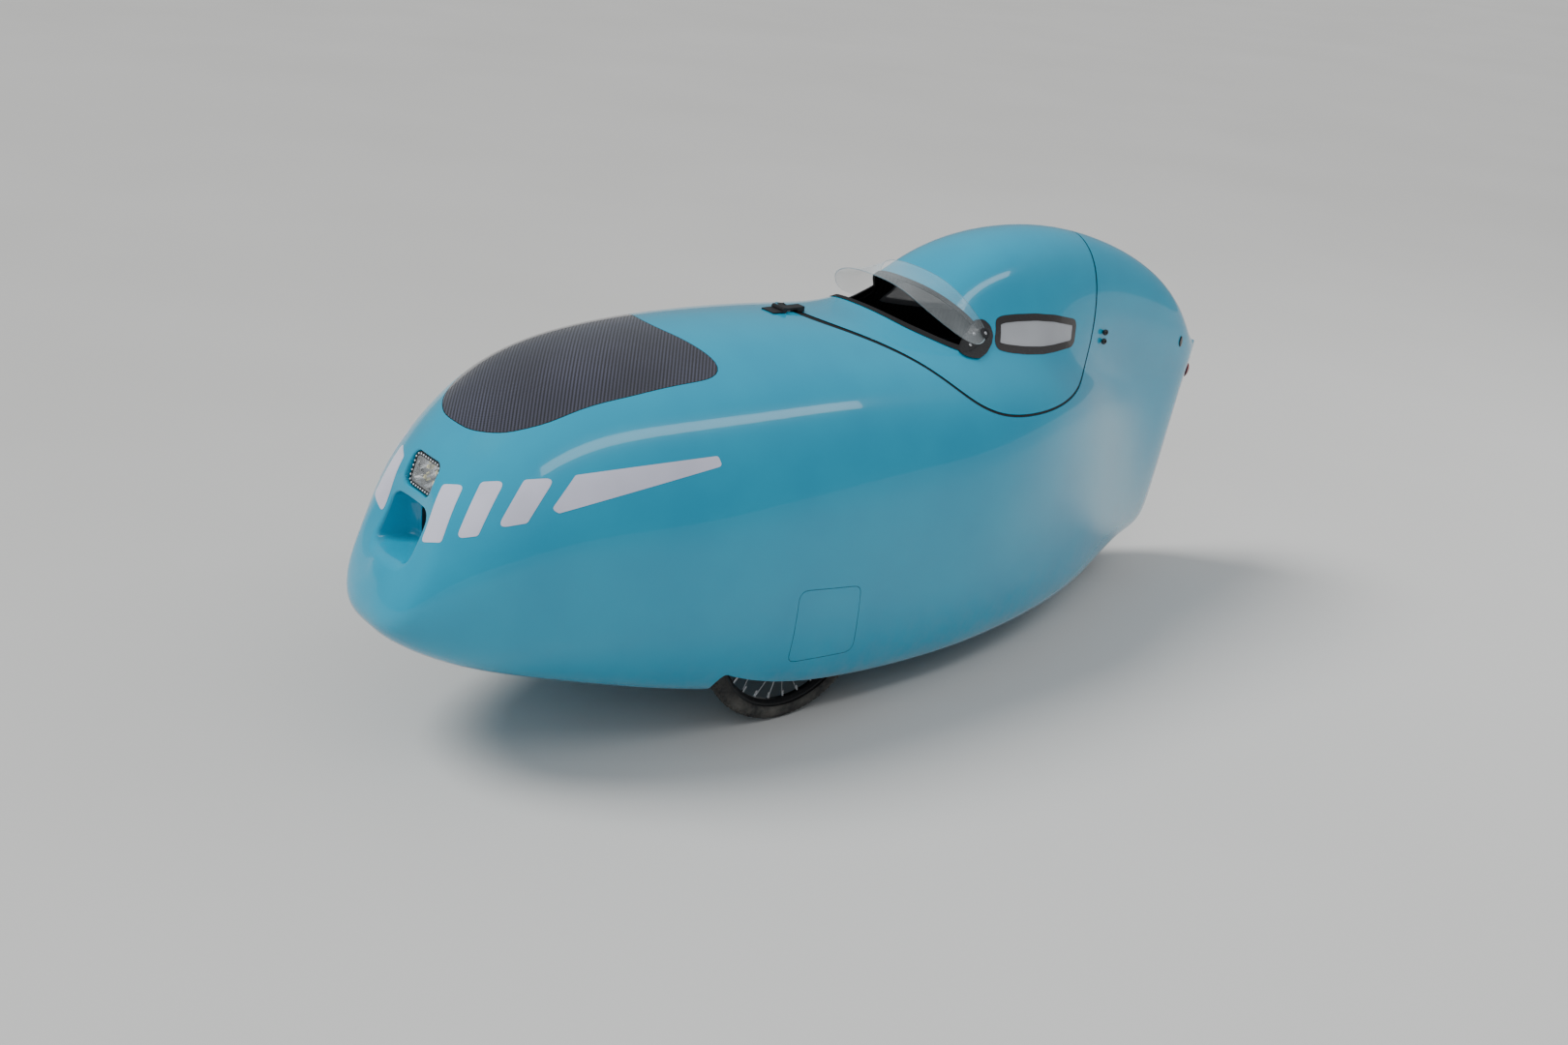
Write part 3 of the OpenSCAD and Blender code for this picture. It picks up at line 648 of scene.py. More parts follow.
def relief(n, shader, height, distance, strength=1.0):
    bump = n.add("ShaderNodeBump", {"Height": height, "Distance": distance, "Strength": strength})
    n.join(bump.outputs[0], shader.inputs["Normal"])


def moulded(name, colour, roughness=0.45, grain=420.0, depth=0.00012, metallic=0.0, coat=0.0, dust=0.25, spread=0.12,
            tint=(0.30, 0.27, 0.23, 1)):
    """Plain goods: paint, moulded plastic, rubber or metal, told apart by their values."""
    material, n, shader, place = base_material(name)
    if n is None:
        return material
    surface = n.grain(place, grain)
    soil = n.road_dust(place, dust)
    deep = tuple(c * 0.86 for c in colour[:3]) + (1,)
    tone = n.colour(surface["Blotch"], deep, tuple(colour[:3]) + (1,))
    n.join(n.colour(soil["Dust"], tone, tint), shader.inputs["Base Color"])
    rough = n.value(surface["Height"], max(roughness - spread, 0.02), min(roughness + spread, 1.0))
    n.join(n.math("ADD", rough, n.math("MULTIPLY", soil["Scuff"], 0.10), clamp=True), shader.inputs["Roughness"])
    shader.inputs["Metallic"].default_value = metallic
    shader.inputs["Coat Weight"].default_value = coat
    shader.inputs["Coat Roughness"].default_value = 0.03
    relief(n, shader, surface["Height"], depth)
    return material


def paint_material():
    colour = bpy.context.scene.velomobile_shell.paint_colour
    material, n, shader, place = base_material("Gloss paint")
    if n is None:
        return material
    surface = n.grain(place, 260.0)
    soil = n.road_dust(place, 0.22, 0.26)
    deep = (colour[0] * 0.8, colour[1] * 0.93, colour[2] * 0.95, 1)
    tone = n.colour(surface["Blotch"], deep, tuple(colour) + (1,))
    n.join(n.colour(soil["Dust"], tone, (0.33, 0.33, 0.30, 1)), shader.inputs["Base Color"])
    rough = n.value(surface["Height"], 0.16, 0.26)
    n.join(n.math("ADD", rough, n.math("MULTIPLY", soil["Dust"], 0.5), clamp=True), shader.inputs["Roughness"])
    shader.inputs["Specular IOR Level"].default_value = 0.3
    shader.inputs["Coat Weight"].default_value = 0.7
    shader.inputs["Coat Roughness"].default_value = 0.02
    relief(n, shader, surface["Height"], 0.00001)
    return material


def carbon_material(name="Carbon twill", coat=1.0, tow=0.0025, lift=(0.050, 0.053, 0.088), sunk_tow_shade=(0.004, 0.004, 0.008)):
    material, n, shader, place = base_material(name)
    if n is None:
        return material
    turned = n.add("ShaderNodeMapping", {"Vector": place, "Rotation": (0, 0, math.radians(82))})
    twill = n.twill(turned.outputs[0], tow)
    surface = n.grain(place, 900.0)
    # Raised tows take the lighter colour as a painted sheen, and sunk tows the darker one as painted shade.
    tows_sheen_and_shade = n.colour(twill["Over"], tuple(sunk_tow_shade) + (1,), tuple(lift) + (1,))
    shade = n.colour(n.math("MULTIPLY", surface["Blotch"], 0.35), tows_sheen_and_shade, tuple(sunk_tow_shade) + (1,))
    n.join(shade, shader.inputs["Base Color"])
    n.join(n.value(twill["Over"], 0.50, 0.30), shader.inputs["Roughness"])
    shader.inputs["Coat Weight"].default_value = coat
    shader.inputs["Coat Roughness"].default_value = 0.05
    shader.inputs["Specular IOR Level"].default_value = 0.6
    relief(n, shader, twill["Height"], 0.00025)
    return material


def glass_material(name, colour, alpha, roughness):
    material, n, shader, place = base_material(name)
    if n is None:
        return material
    surface = n.grain(place, 60.0)
    shader.inputs["IOR"].default_value = 1.49
    deep = tuple(c * 0.92 for c in colour) + (1,)
    n.join(n.colour(surface["Blotch"], deep, tuple(colour) + (1,)), shader.inputs["Base Color"])
    n.join(n.value(surface["Height"], max(roughness - 0.02, 0.0), roughness + 0.03), shader.inputs["Roughness"])
    # The pane grows more opaque towards a glancing view, so its tint shows there as a painted reflection.
    facing = n.add("ShaderNodeLayerWeight", {"Blend": 0.35}).outputs["Facing"]
    even = n.value(surface["Blotch"], max(alpha - 0.02, 0.0), alpha + 0.02)
    n.join(n.value(n.math("POWER", facing, 3.0), even, min(alpha + 0.35, 1.0)), shader.inputs["Alpha"])
    relief(n, shader, surface["Height"], 0.00002)
    return material


def fabric_material():
    colour = bpy.context.scene.velomobile_cabin.fabric_colour
    material, n, shader, place = base_material("Pad mesh cloth")
    if n is None:
        return material
    parts = n.add("ShaderNodeSeparateXYZ", {0: place}).outputs
    slanted = n.add("ShaderNodeCombineXYZ", {0: parts[1], 1: n.math("SUBTRACT", parts[2], parts[0])}).outputs[0]
    twill = n.twill(slanted, 0.0016)
    surface = n.grain(place, 1200.0)
    # Each thread is darkened towards its edges, where it dips under its neighbours: painted shade in the grooves of the
    # weave.
    deep = tuple(c * 0.45 for c in colour) + (1,)
    threads_with_groove_shade = n.colour(twill["Height"], deep, tuple(colour) + (1,))
    n.join(n.colour(n.math("MULTIPLY", surface["Blotch"], 0.25), threads_with_groove_shade, (0.09, 0.095, 0.105, 1)),
           shader.inputs["Base Color"])
    n.join(n.value(surface["Height"], 0.78, 0.98), shader.inputs["Roughness"])
    shader.inputs["Sheen Weight"].default_value = 0.25
    relief(n, shader, n.math("ADD", twill["Height"], n.math("MULTIPLY", surface["Height"], 0.4)), 0.0004)
    return material


def black_gloss():
    return moulded("Black trim", (0.010, 0.010, 0.011), 0.28, 500.0, 0.00004, coat=0.3, dust=0.12)


def black_plastic():
    return moulded("Moulded black plastic", (0.013, 0.013, 0.014), 0.5, 650.0, 0.0001, dust=0.3)


def rubber_material():
    return moulded("Soft rubber", (0.011, 0.011, 0.012), 0.72, 380.0, 0.00015, dust=0.35)


def laminate_material():
    # The weave's lighter raised tows and darker sunk tows are painted sheen and painted shade, as on the bonnet.
    return carbon_material("Bare laminate", 0.15, 0.004, (0.034, 0.034, 0.036), (0.016, 0.016, 0.018))


def steel_material():
    return moulded("Bright steel", (0.60, 0.61, 0.63), 0.24, 700.0, 0.00004, metallic=1.0, dust=0.2)


def alloy_material():
    return moulded("Brushed alloy", (0.50, 0.51, 0.53), 0.34, 520.0, 0.00008, metallic=1.0, dust=0.3)


def dark_alloy_material():
    return moulded("Dark anodised alloy", (0.030, 0.031, 0.034), 0.38, 520.0, 0.00006, metallic=0.7, dust=0.25)


def tyre_material():
    return moulded("Tyre rubber", (0.016, 0.016, 0.017), 0.78, 260.0, 0.0003, dust=0.75, tint=(0.16, 0.15, 0.13, 1))


def shaded_edge_material():
    colour = bpy.context.scene.velomobile_shell.paint_colour
    # The shell's cut edges, in the gaps between panels and round the openings, take the paint at 0.55 of its
    # brightness: painted shade.
    return moulded("Panel edge in painted shade", tuple(c * 0.55 for c in colour), 0.4, 500.0, 0.0001, dust=0.2)


def mark_material():
    colour = bpy.context.scene.velomobile_shell.mark_colour
    return moulded("Reflective film", tuple(colour), 0.34, 900.0, 0.00003, coat=0.35, dust=0.10, spread=0.06)

# ---------------------------------------------------------------- what a user would change


class ShellSizes(bpy.types.PropertyGroup):
    """Sizes and colours of the shell"""

    paint_colour: bpy.props.FloatVectorProperty(
        name="Paint", description="Colour of the gloss paint", subtype="COLOR", size=3, min=0, max=1,
        default=(0.0, 0.30, 0.47))
    mark_colour: bpy.props.FloatVectorProperty(
        name="Marks", description="Colour of the bars on the nose", subtype="COLOR", size=3, min=0, max=1,
        default=(0.62, 0.62, 0.74))
    wall: bpy.props.FloatProperty(
        name="Wall", description="Thickness of the laminate", default=0.004, min=0.002, max=0.006, unit="LENGTH")
    canopy_gap: bpy.props.FloatProperty(
        name="Canopy gap", description="Gap round the canopy", default=0.006, min=0.004, max=0.008, unit="LENGTH")
    panel_gap: bpy.props.FloatProperty(
        name="Panel gap", description="Gap round the bolted panels", default=0.0012, min=0.0005, max=0.002,
        unit="LENGTH")


class NoseSizes(bpy.types.PropertyGroup):
    """Sizes of the lamp and the intake"""

    lamp_depth: bpy.props.FloatProperty(
        name="Lamp depth", description="How far the lamp sits behind the skin", default=0.008, min=0.004, max=0.02,
        unit="LENGTH")
    lamp_beads: bpy.props.IntProperty(
        name="Marker lights", description="Small lights round the lamp's edge", default=30, min=12, max=60)
    intake_depth: bpy.props.FloatProperty(
        name="Intake depth", description="Depth of the air intake", default=0.062, min=0.04, max=0.12, unit="LENGTH")


class CabinSizes(bpy.types.PropertyGroup):
    """Finish of the seat and the glazing"""

    fabric_colour: bpy.props.FloatVectorProperty(
        name="Seat cloth", description="Colour of the seat's cloth", subtype="COLOR", size=3, min=0, max=1,
        default=(0.045, 0.050, 0.060))
    pad_swell: bpy.props.FloatProperty(
        name="Pad swell", description="How far the pads' cloth may move as it fills", default=0.010, min=0.003,
        max=0.02, unit="LENGTH")
    window_border: bpy.props.FloatProperty(
        name="Window border", description="Width of the dark border of a side window", default=0.015, min=0.006,
        max=0.025, unit="LENGTH")


class WheelSizes(bpy.types.PropertyGroup):
    """Sizes of the tyres' tread"""

    tread_blocks: bpy.props.IntProperty(
        name="Tread blocks", description="Blocks in each row of the tread", default=96, min=40, max=140)
    tread_height: bpy.props.FloatProperty(
        name="Tread height", description="Height of a tread block", default=0.0012, min=0.0005, max=0.003,
        unit="LENGTH")
    spokes: bpy.props.IntProperty(
        name="Spokes", description="Spokes in each wheel, as in the frame", default=28, min=20, max=36)


# ---------------------------------------------------------------- repeated pieces by geometry nodes


def stamped(name, points, normals, stamp, material):
    """One plain mesh of a small shape set at each point, standing along the point's normal."""
    holder = new_object(name, points, [])
    attribute = holder.data.attributes.new("stand", "FLOAT_VECTOR", "POINT")
    attribute.data.foreach_set("vector", np.array(normals, np.float32).reshape(-1))
    tree = bpy.data.node_groups.new(name + " layout", "GeometryNodeTree")
    for way in ("INPUT", "OUTPUT"):
        tree.interface.new_socket(name="Geometry", in_out=way, socket_type="NodeSocketGeometry")
    n = Nodes(tree)
    source = n.add("NodeGroupInput").outputs
    target = n.add("NodeGroupOutput")
    stand = n.add("GeometryNodeInputNamedAttribute", {"Name": "stand"}, data_type="FLOAT_VECTOR").outputs[0]
    align = n.add("FunctionNodeAlignRotationToVector", {"Vector": stand}, axis="Z")
    shape = n.add("GeometryNodeObjectInfo", {"Object": stamp})
    set_on = n.add("GeometryNodeInstanceOnPoints", {
        "Points": source["Geometry"], "Instance": shape.outputs["Geometry"], "Rotation": align.outputs[0]})
    real = n.add("GeometryNodeRealizeInstances", {0: set_on.outputs[0]})
    finish = n.add("GeometryNodeSetMaterial", {0: real.outputs[0], "Material": material})
    n.join(finish.outputs[0], target.inputs[0])
    tool = holder.modifiers.new("layout", "NODES")
    tool.node_group = tree
    take_result(holder)
    discard(stamp)
    return holder


def stamp_block(wide=1.0, long=1.0, high=1.0, taper=0.75):
    """A small block with sloping sides."""
    verts = [(x * wide / 2 * k, y * long / 2 * k, z) for z, k in ((-0.3 * high, 1), (high, taper))
             for x, y in ((-1, -1), (1, -1), (1, 1), (-1, 1))]
    faces = [(3, 2, 1, 0), (4, 5, 6, 7), (0, 1, 5, 4), (1, 2, 6, 5), (2, 3, 7, 6), (3, 0, 4, 7)]
    return new_object("stamp", verts, faces, smooth=False)


def stamp_screw(radius=0.005, high=0.0028, sides=20):
    """A domed screw head with a six-sided socket."""
    profile = [(-0.001, radius * 0.96), (0.0004, radius), (high * 0.45, radius * 0.94), (high * 0.8, radius * 0.78),
               (high, radius * 0.52)]
    verts, faces = cylinder_rows((0, 0, 0), (0, 0, 1), profile, sides, closed=False)
    faces.append(tuple(reversed(range(sides))))
    rim = (len(profile) - 1) * sides
    side = Vector((0, 0, 1)).orthogonal().normalized()
    other = Vector((0, 0, 1)).cross(side)
    for level, size in ((high, 0.40), (high * 0.35, 0.38)):
        for k in range(sides):
            a = 2 * math.pi * k / sides
            hexagon = 0.866 / max(math.cos((a % (math.pi / 3)) - math.pi / 6), 0.1)
            verts.append((side * math.cos(a) + other * math.sin(a)) * radius * size * hexagon + Vector((0, 0, level)))
    faces += row_faces(3, sides, rim)
    faces.append(tuple(rim + 2 * sides + k for k in range(sides)))
    return soften(new_object("stamp", verts, faces), 30)


# ---------------------------------------------------------------- shell


def panel_materials():
    return [paint_material(), laminate_material(), shaded_edge_material()]


def wheel_openings(materials):
    swing = (WHEEL_R - 0.030) * math.sin(math.radians(STEER_TURN)) + 0.027
    front = rounded_box(2 * (WHEEL_R + 0.006) * 1000, 2 * swing * 1000, 25, 6)
    rear = rounded_box(2 * (WHEEL_R + 0.006) * 1000, 70, 20, 6)
    loops = [[(x + FRONT_S, y + side * (TRACK_HALF * 1000 - 2)) for x, y in front] for side in (1, -1)]
    loops.append([(x + REAR_S, y) for x, y in rear])
    return prism(loops, "plan", -0.1, 0.2, materials)


def build_lower_shell():
    sizes = bpy.context.scene.velomobile_shell
    materials = panel_materials()
    shell = layer("lower_shell_skin", 0, -sizes.wall * 1000, materials)
    keep_inside(shell, WHOLE_PLAN, "plan", -0.5, SPLIT_Z / 1000, materials)
    combine(shell, wheel_openings(materials), "DIFFERENCE")
    for side in (1, -1):
        cut_away(shell, grow(HATCH_LOOP, sizes.panel_gap * 500), "side", *side_span(side, HATCH_NEAR), materials)
    follow_skin(shell)
    place_piece(shell, "hull", "paint", "lower_shell")


def intake_axes():
    return Vector((AHEAD_X - 0.2, 0, INTAKE_Z / 1000)), Vector((0, 1, 0)), Vector((0, 0, 1))


def intake_reach():
    """How far the lip reaches at each point of the intake: slight above, broad below."""
    low = min(z for _, z in INTAKE_LOOP)
    high = max(z for _, z in INTAKE_LOOP)
    return [5.0 + 10.0 * ((high - z) / (high - low)) ** 1.6 for _, z in INTAKE_LOOP]


def intake_rim(share):
    outer = grow(INTAKE_LOOP, 1.0)
    return [(p[0] + (q[0] - p[0]) * r * share, p[1] + (q[1] - p[1]) * r * share)
            for p, q, r in zip(INTAKE_LOOP, outer, intake_reach())]


def build_upper_shell():
    sizes = bpy.context.scene.velomobile_shell
    materials = panel_materials()
    shell = layer("upper_shell_skin", 0, -sizes.wall * 1000, materials)
    keep_inside(shell, WHOLE_PLAN, "plan", SPLIT_Z / 1000, 1.4, materials)
    cut_away(shell, grow(CANOPY_LOOP, sizes.canopy_gap * 500), "side", -FAR, FAR, materials)
    cut_away(shell, grow(BONNET_LOOP, sizes.panel_gap * 500), "plan", *BONNET_SPAN, materials)
    cut_away(shell, grow(LAMP_LOOP, 4), lamp_axes(), -0.05, 0.12, materials)
    cut_away(shell, intake_rim(1.0), intake_axes(), -0.03, 0.3, materials)
    follow_skin(shell)
    place_piece(shell, "hull", "paint", "upper_shell")


def build_hatch(side, name):
    sizes = bpy.context.scene.velomobile_shell
    materials = panel_materials()
    hatch = layer(name + "_skin", 0, -sizes.wall * 1000, materials, (780, 1060))
    keep_inside(hatch, grow(HATCH_LOOP, -sizes.panel_gap * 500), "side", *side_span(side, HATCH_NEAR), materials)
    follow_skin(hatch)
    place_piece(hatch, "hull", "paint", name)


def build_bonnet():
    sizes = bpy.context.scene.velomobile_shell
    materials = [carbon_material(), laminate_material(), black_plastic()]
    bonnet = layer("bonnet_panel_skin", 0, -sizes.wall * 1000, materials, (190, 780))
    keep_inside(bonnet, grow(BONNET_LOOP, -sizes.panel_gap * 500), "plan", *BONNET_SPAN, materials)
    follow_skin(bonnet)
    place_piece(bonnet, "hull", "carbon", "bonnet_panel")


def build_marks():
    """Bars and a long taper on each side of the nose, as thin film on the skin."""
    film = mark_material()
    for side, name in ((1, "left_nose_marks"), (-1, "right_nose_marks")):
        whole = None
        for number, corners in enumerate(BARS):
            pts = [at(s, side * y, z) for s, y, z in corners]
            centre = sum(pts, Vector((0, 0, 0))) / len(pts)
            _, out = LOOKUP.nearest(centre)
            right = Vector((0, 0, 1)).cross(out).normalized()
            up = out.cross(right).normalized()
            loop = [((p - centre).dot(right) * 1000, (p - centre).dot(up) * 1000) for p in pts]
            tool = prism([fillet(loop, 11 if number < 3 else 8, 6)], (centre, right, up), -0.07, 0.10, [film] * 3, 0)
            low = min(s for s, _, _ in corners) - 60
            high = max(s for s, _, _ in corners) + 60
            part = layer(name, 0.45, 0.05, [film] * 3, (low, high))
            combine(part, tool, "INTERSECT")
            follow_skin(part)
            whole = join_pieces([whole, part]) if whole else part
        place_piece(whole, "hull", "paint")


def join_pieces(objs):
    """Joins objects into the first, keeping their shading."""
    with bpy.context.temp_override(active_object=objs[0], selected_editable_objects=objs, object=objs[0]):
        bpy.ops.object.join()
    return objs[0]


def build_canopy_seal():
    """A soft lip under the canopy's edge."""
    rubber = rubber_material()
    seal = layer("canopy_edge_seal", -1.8, -5.2, [rubber] * 3, (985, 2000))
    keep_inside(seal, grow(CANOPY_LOOP, 5), "side", -FAR, FAR, [rubber] * 3)
    cut_away(seal, grow(CANOPY_LOOP, -2), "side", -FAR, FAR, [rubber] * 3)
    follow_skin(seal)
    place_piece(seal, "hull", "rubber")


# ---------------------------------------------------------------- canopy


def build_canopy_shell():
    sizes = bpy.context.scene.velomobile_shell
    materials = panel_materials()
    canopy = layer("canopy_shell_skin", 0, -sizes.wall * 1000, materials, (980, 2010))
    keep_inside(canopy, grow(CANOPY_LOOP, -sizes.canopy_gap * 500), "side", -FAR, FAR, materials)
    cut_away(canopy, VISOR_LOOP, "side", -FAR, FAR, materials)
    for side in (1, -1):
        cut_away(canopy, WINDOW_LOOP, "side", *side_span(side, WINDOW_NEAR), materials)
    follow_skin(canopy)
    place_piece(canopy, "canopy", "paint", "canopy_shell")


def build_windows():
    border_width = bpy.context.scene.velomobile_cabin.window_border * 1000
    pane_finish = glass_material("Tinted pane", (0.50, 0.51, 0.54), 0.72, 0.06)
    border_finish = moulded("Printed window border", (0.022, 0.018, 0.017), 0.22, 900.0, 0.00003, coat=0.4, dust=0.1)
    for side, name in ((1, "left_side_window"), (-1, "right_side_window")):
        low, high = side_span(side, WINDOW_NEAR)
        pane = layer(name + "_pane", -0.5, -3.5, [pane_finish] * 3, (1490, 1930))
        keep_inside(pane, grow(WINDOW_LOOP, -0.3), "side", low, high, [pane_finish] * 3)
        follow_skin(pane)
        place_piece(pane, "canopy", "window_tint", name)
        border = layer(name + "_border", 0.6, -0.4, [border_finish] * 3, (1490, 1930))
        keep_inside(border, grow(WINDOW_LOOP, 1.5), "side", low, high, [border_finish] * 3)
        cut_away(border, grow(WINDOW_LOOP, -border_width), "side", low, high, [border_finish] * 3)
        follow_skin(border)
        place_piece(border, "canopy", "black_plastic")


def pivot_axes(side):
    return LOOKUP.along(at(PIVOT[0], side * 500, PIVOT[1]), Vector((0, -side, 0)))


def build_visor():
    rubber = rubber_material()
    seal = layer("visor_seal_lip", 1.5, -5.5, [rubber] * 3, (1200, 1540))
    keep_inside(seal, grow(VISOR_LOOP, -0.3), "side", -FAR, FAR, [rubber] * 3)
    cut_away(seal, grow(VISOR_LOOP, -11), "side", -FAR, FAR, [rubber] * 3)
    follow_skin(seal)
    place_piece(seal, "canopy", "rubber", "visor_seal")

    clear = glass_material("Clear visor", (0.80, 0.88, 0.92), 0.07, 0.01)
    sheet_loop = smooth_loop(VISOR_SHEET, 8)
    rim = glass_material("Visor edge", (0.35, 0.50, 0.56), 0.60, 0.08)
    inner = glass_material("Clear visor inside", (0.80, 0.88, 0.92), 0.05, 0.01)
    visor = layer("visor_sheet", 7.6, 5.6, [clear, inner, rim], (1180, 1560))
    keep_inside(visor, sheet_loop, "side", -FAR, FAR, [clear, inner, rim])
    follow_skin(visor)
    hinge = at(PIVOT[0], 0, PIVOT[1])
    turn = Matrix.Translation(hinge) @ Matrix.Rotation(math.radians(-VISOR_RAISE), 4, "Y") @ Matrix.Translation(-hinge)
    normals = [turn.to_3x3() @ Vector(c.vector) for c in visor.data.corner_normals]
    visor.data.transform(turn)
    visor.data.normals_split_custom_set(normals)
    place_piece(visor, "canopy", "visor_clear", "visor")


def build_pivots():
    """The visor's pivot plates, each with a knob and a screw."""
    trim = black_gloss()
    for side, name in ((1, "left_visor_pivot"), (-1, "right_visor_pivot")):
        low, high = (0.10, 0.40) if side > 0 else (-0.40, -0.10)
        plate = layer(name + "_plate", 4.2, 0.2, [trim] * 3, (1370, 1560))
        keep_inside(plate, eased([tuple(p) for p in PIVOT_PLATE], 3, 4), "side", low, high, [trim] * 3)
        follow_skin(plate)
        tool = plate.modifiers.new("edge", "BEVEL")
        tool.width = 0.0008
        tool.segments = 2
        tool.angle_limit = math.radians(50)
        take_result(plate)
        place_piece(plate, "canopy", "black_plastic", name)
        place, out = pivot_axes(side)
        profile = [(0.003, 0.012), (0.0045, 0.0132), (0.0095, 0.0132), (0.0115, 0.0118), (0.0118, 0.0070),
                   (0.0105, 0.0062)]
        verts, faces = cylinder_rows(place, out, profile, 40)
        knob = soften(new_object(name + "_knob", verts, faces, [dark_alloy_material()]), 30)
        place_piece(knob, "canopy", "dark_alloy")
        spots, stands = [place + out * 0.0105], [tuple(out)]
        for s, z in ((1470, 812), (1445, 792)):
            spot, stand = LOOKUP.along(at(s, side * 500, z), Vector((0, -side, 0)))
            spots.append(spot + stand * 0.0042)
            stands.append(tuple(stand))
        screws = stamped(name + "_screws", spots, stands, stamp_screw(0.0048, 0.0026), steel_material())
        place_piece(screws, "canopy", "alloy")


# ---------------------------------------------------------------- nose


def lip_rows(loop, axes, reach, walls, steps=6):
    """Rows from the skin round a soft lip and back along the walls of an opening.

    Each wall is (depth, share of width, share of height, lift, share of flatness)."""
    origin, right, up = axes
    axis = right.cross(up)
    outer = grow(loop, 1.0)
    rows = []
    for k in range(steps + 1):
        a = math.pi / 2 * k / steps
        row = []
        for p, q, r in zip(loop, outer, reach):
            out = r * (1 - math.sin(a))
            y, z = p[0] + (q[0] - p[0]) * out, p[1] + (q[1] - p[1]) * out
            start = origin + right * (y / 1000) + up * (z / 1000) + axis * 0.4
            row.append(LOOKUP.along(start, -axis)[0] - axis * (r / 1000 * (1 - math.cos(a))))
        rows.append(row)
    edge = rows[-1]
    mean = sum(((p - origin).dot(axis) for p in edge)) / len(edge)
    for depth, wide, high, lift, flat in walls:
        row = []
        for p, q in zip(edge, loop):
            level = (p - origin).dot(axis) * (1 - flat) + mean * flat - depth
            row.append(origin + right * (q[0] * wide / 1000) + up * ((q[1] * high + lift) / 1000) + axis * level)
        rows.append(row)
    return rows


def rows_to_mesh(name, rows, materials, close_last=True):
    n = len(rows[0])
    verts = [p for row in rows for p in row]
    faces = row_faces(len(rows), n)
    if close_last:
        faces.append(tuple((len(rows) - 1) * n + k for k in range(n)))
    return soften(new_object(name, verts, faces, materials), 50)


def build_intake():
    paint = paint_material()
    depth = bpy.context.scene.velomobile_nose.intake_depth
    walls = [(0.010, 0.98, 0.98, -0.5, 0.2), (0.025, 0.95, 0.95, -2, 0.6), (depth * 0.65, 0.90, 0.91, -4, 0.9),
             (depth * 0.88, 0.82, 0.85, -7, 1.0), (depth * 0.98, 0.72, 0.78, -9, 1.0), (depth, 0.63, 0.73, -11, 1.0),
             (depth + 0.002, 0.61, 0.71, -12, 1.0), (depth + 0.03, 0.58, 0.68, -12, 1.0)]
    rows = lip_rows(INTAKE_LOOP, intake_axes(), intake_reach(), walls)
    duct = rows_to_mesh("air_intake_duct", rows, [paint, black_plastic()])
    # The deepest ring of the duct and its closing face take black plastic: a dark sheet standing in for the shade deep
    # inside the intake.
    painted_shade_faces = len(duct.data.polygons) - 1 - len(INTAKE_LOOP)
    for poly in duct.data.polygons[painted_shade_faces:]:
        poly.material_index = 1
    place_piece(duct, "hull", "paint", "air_intake")


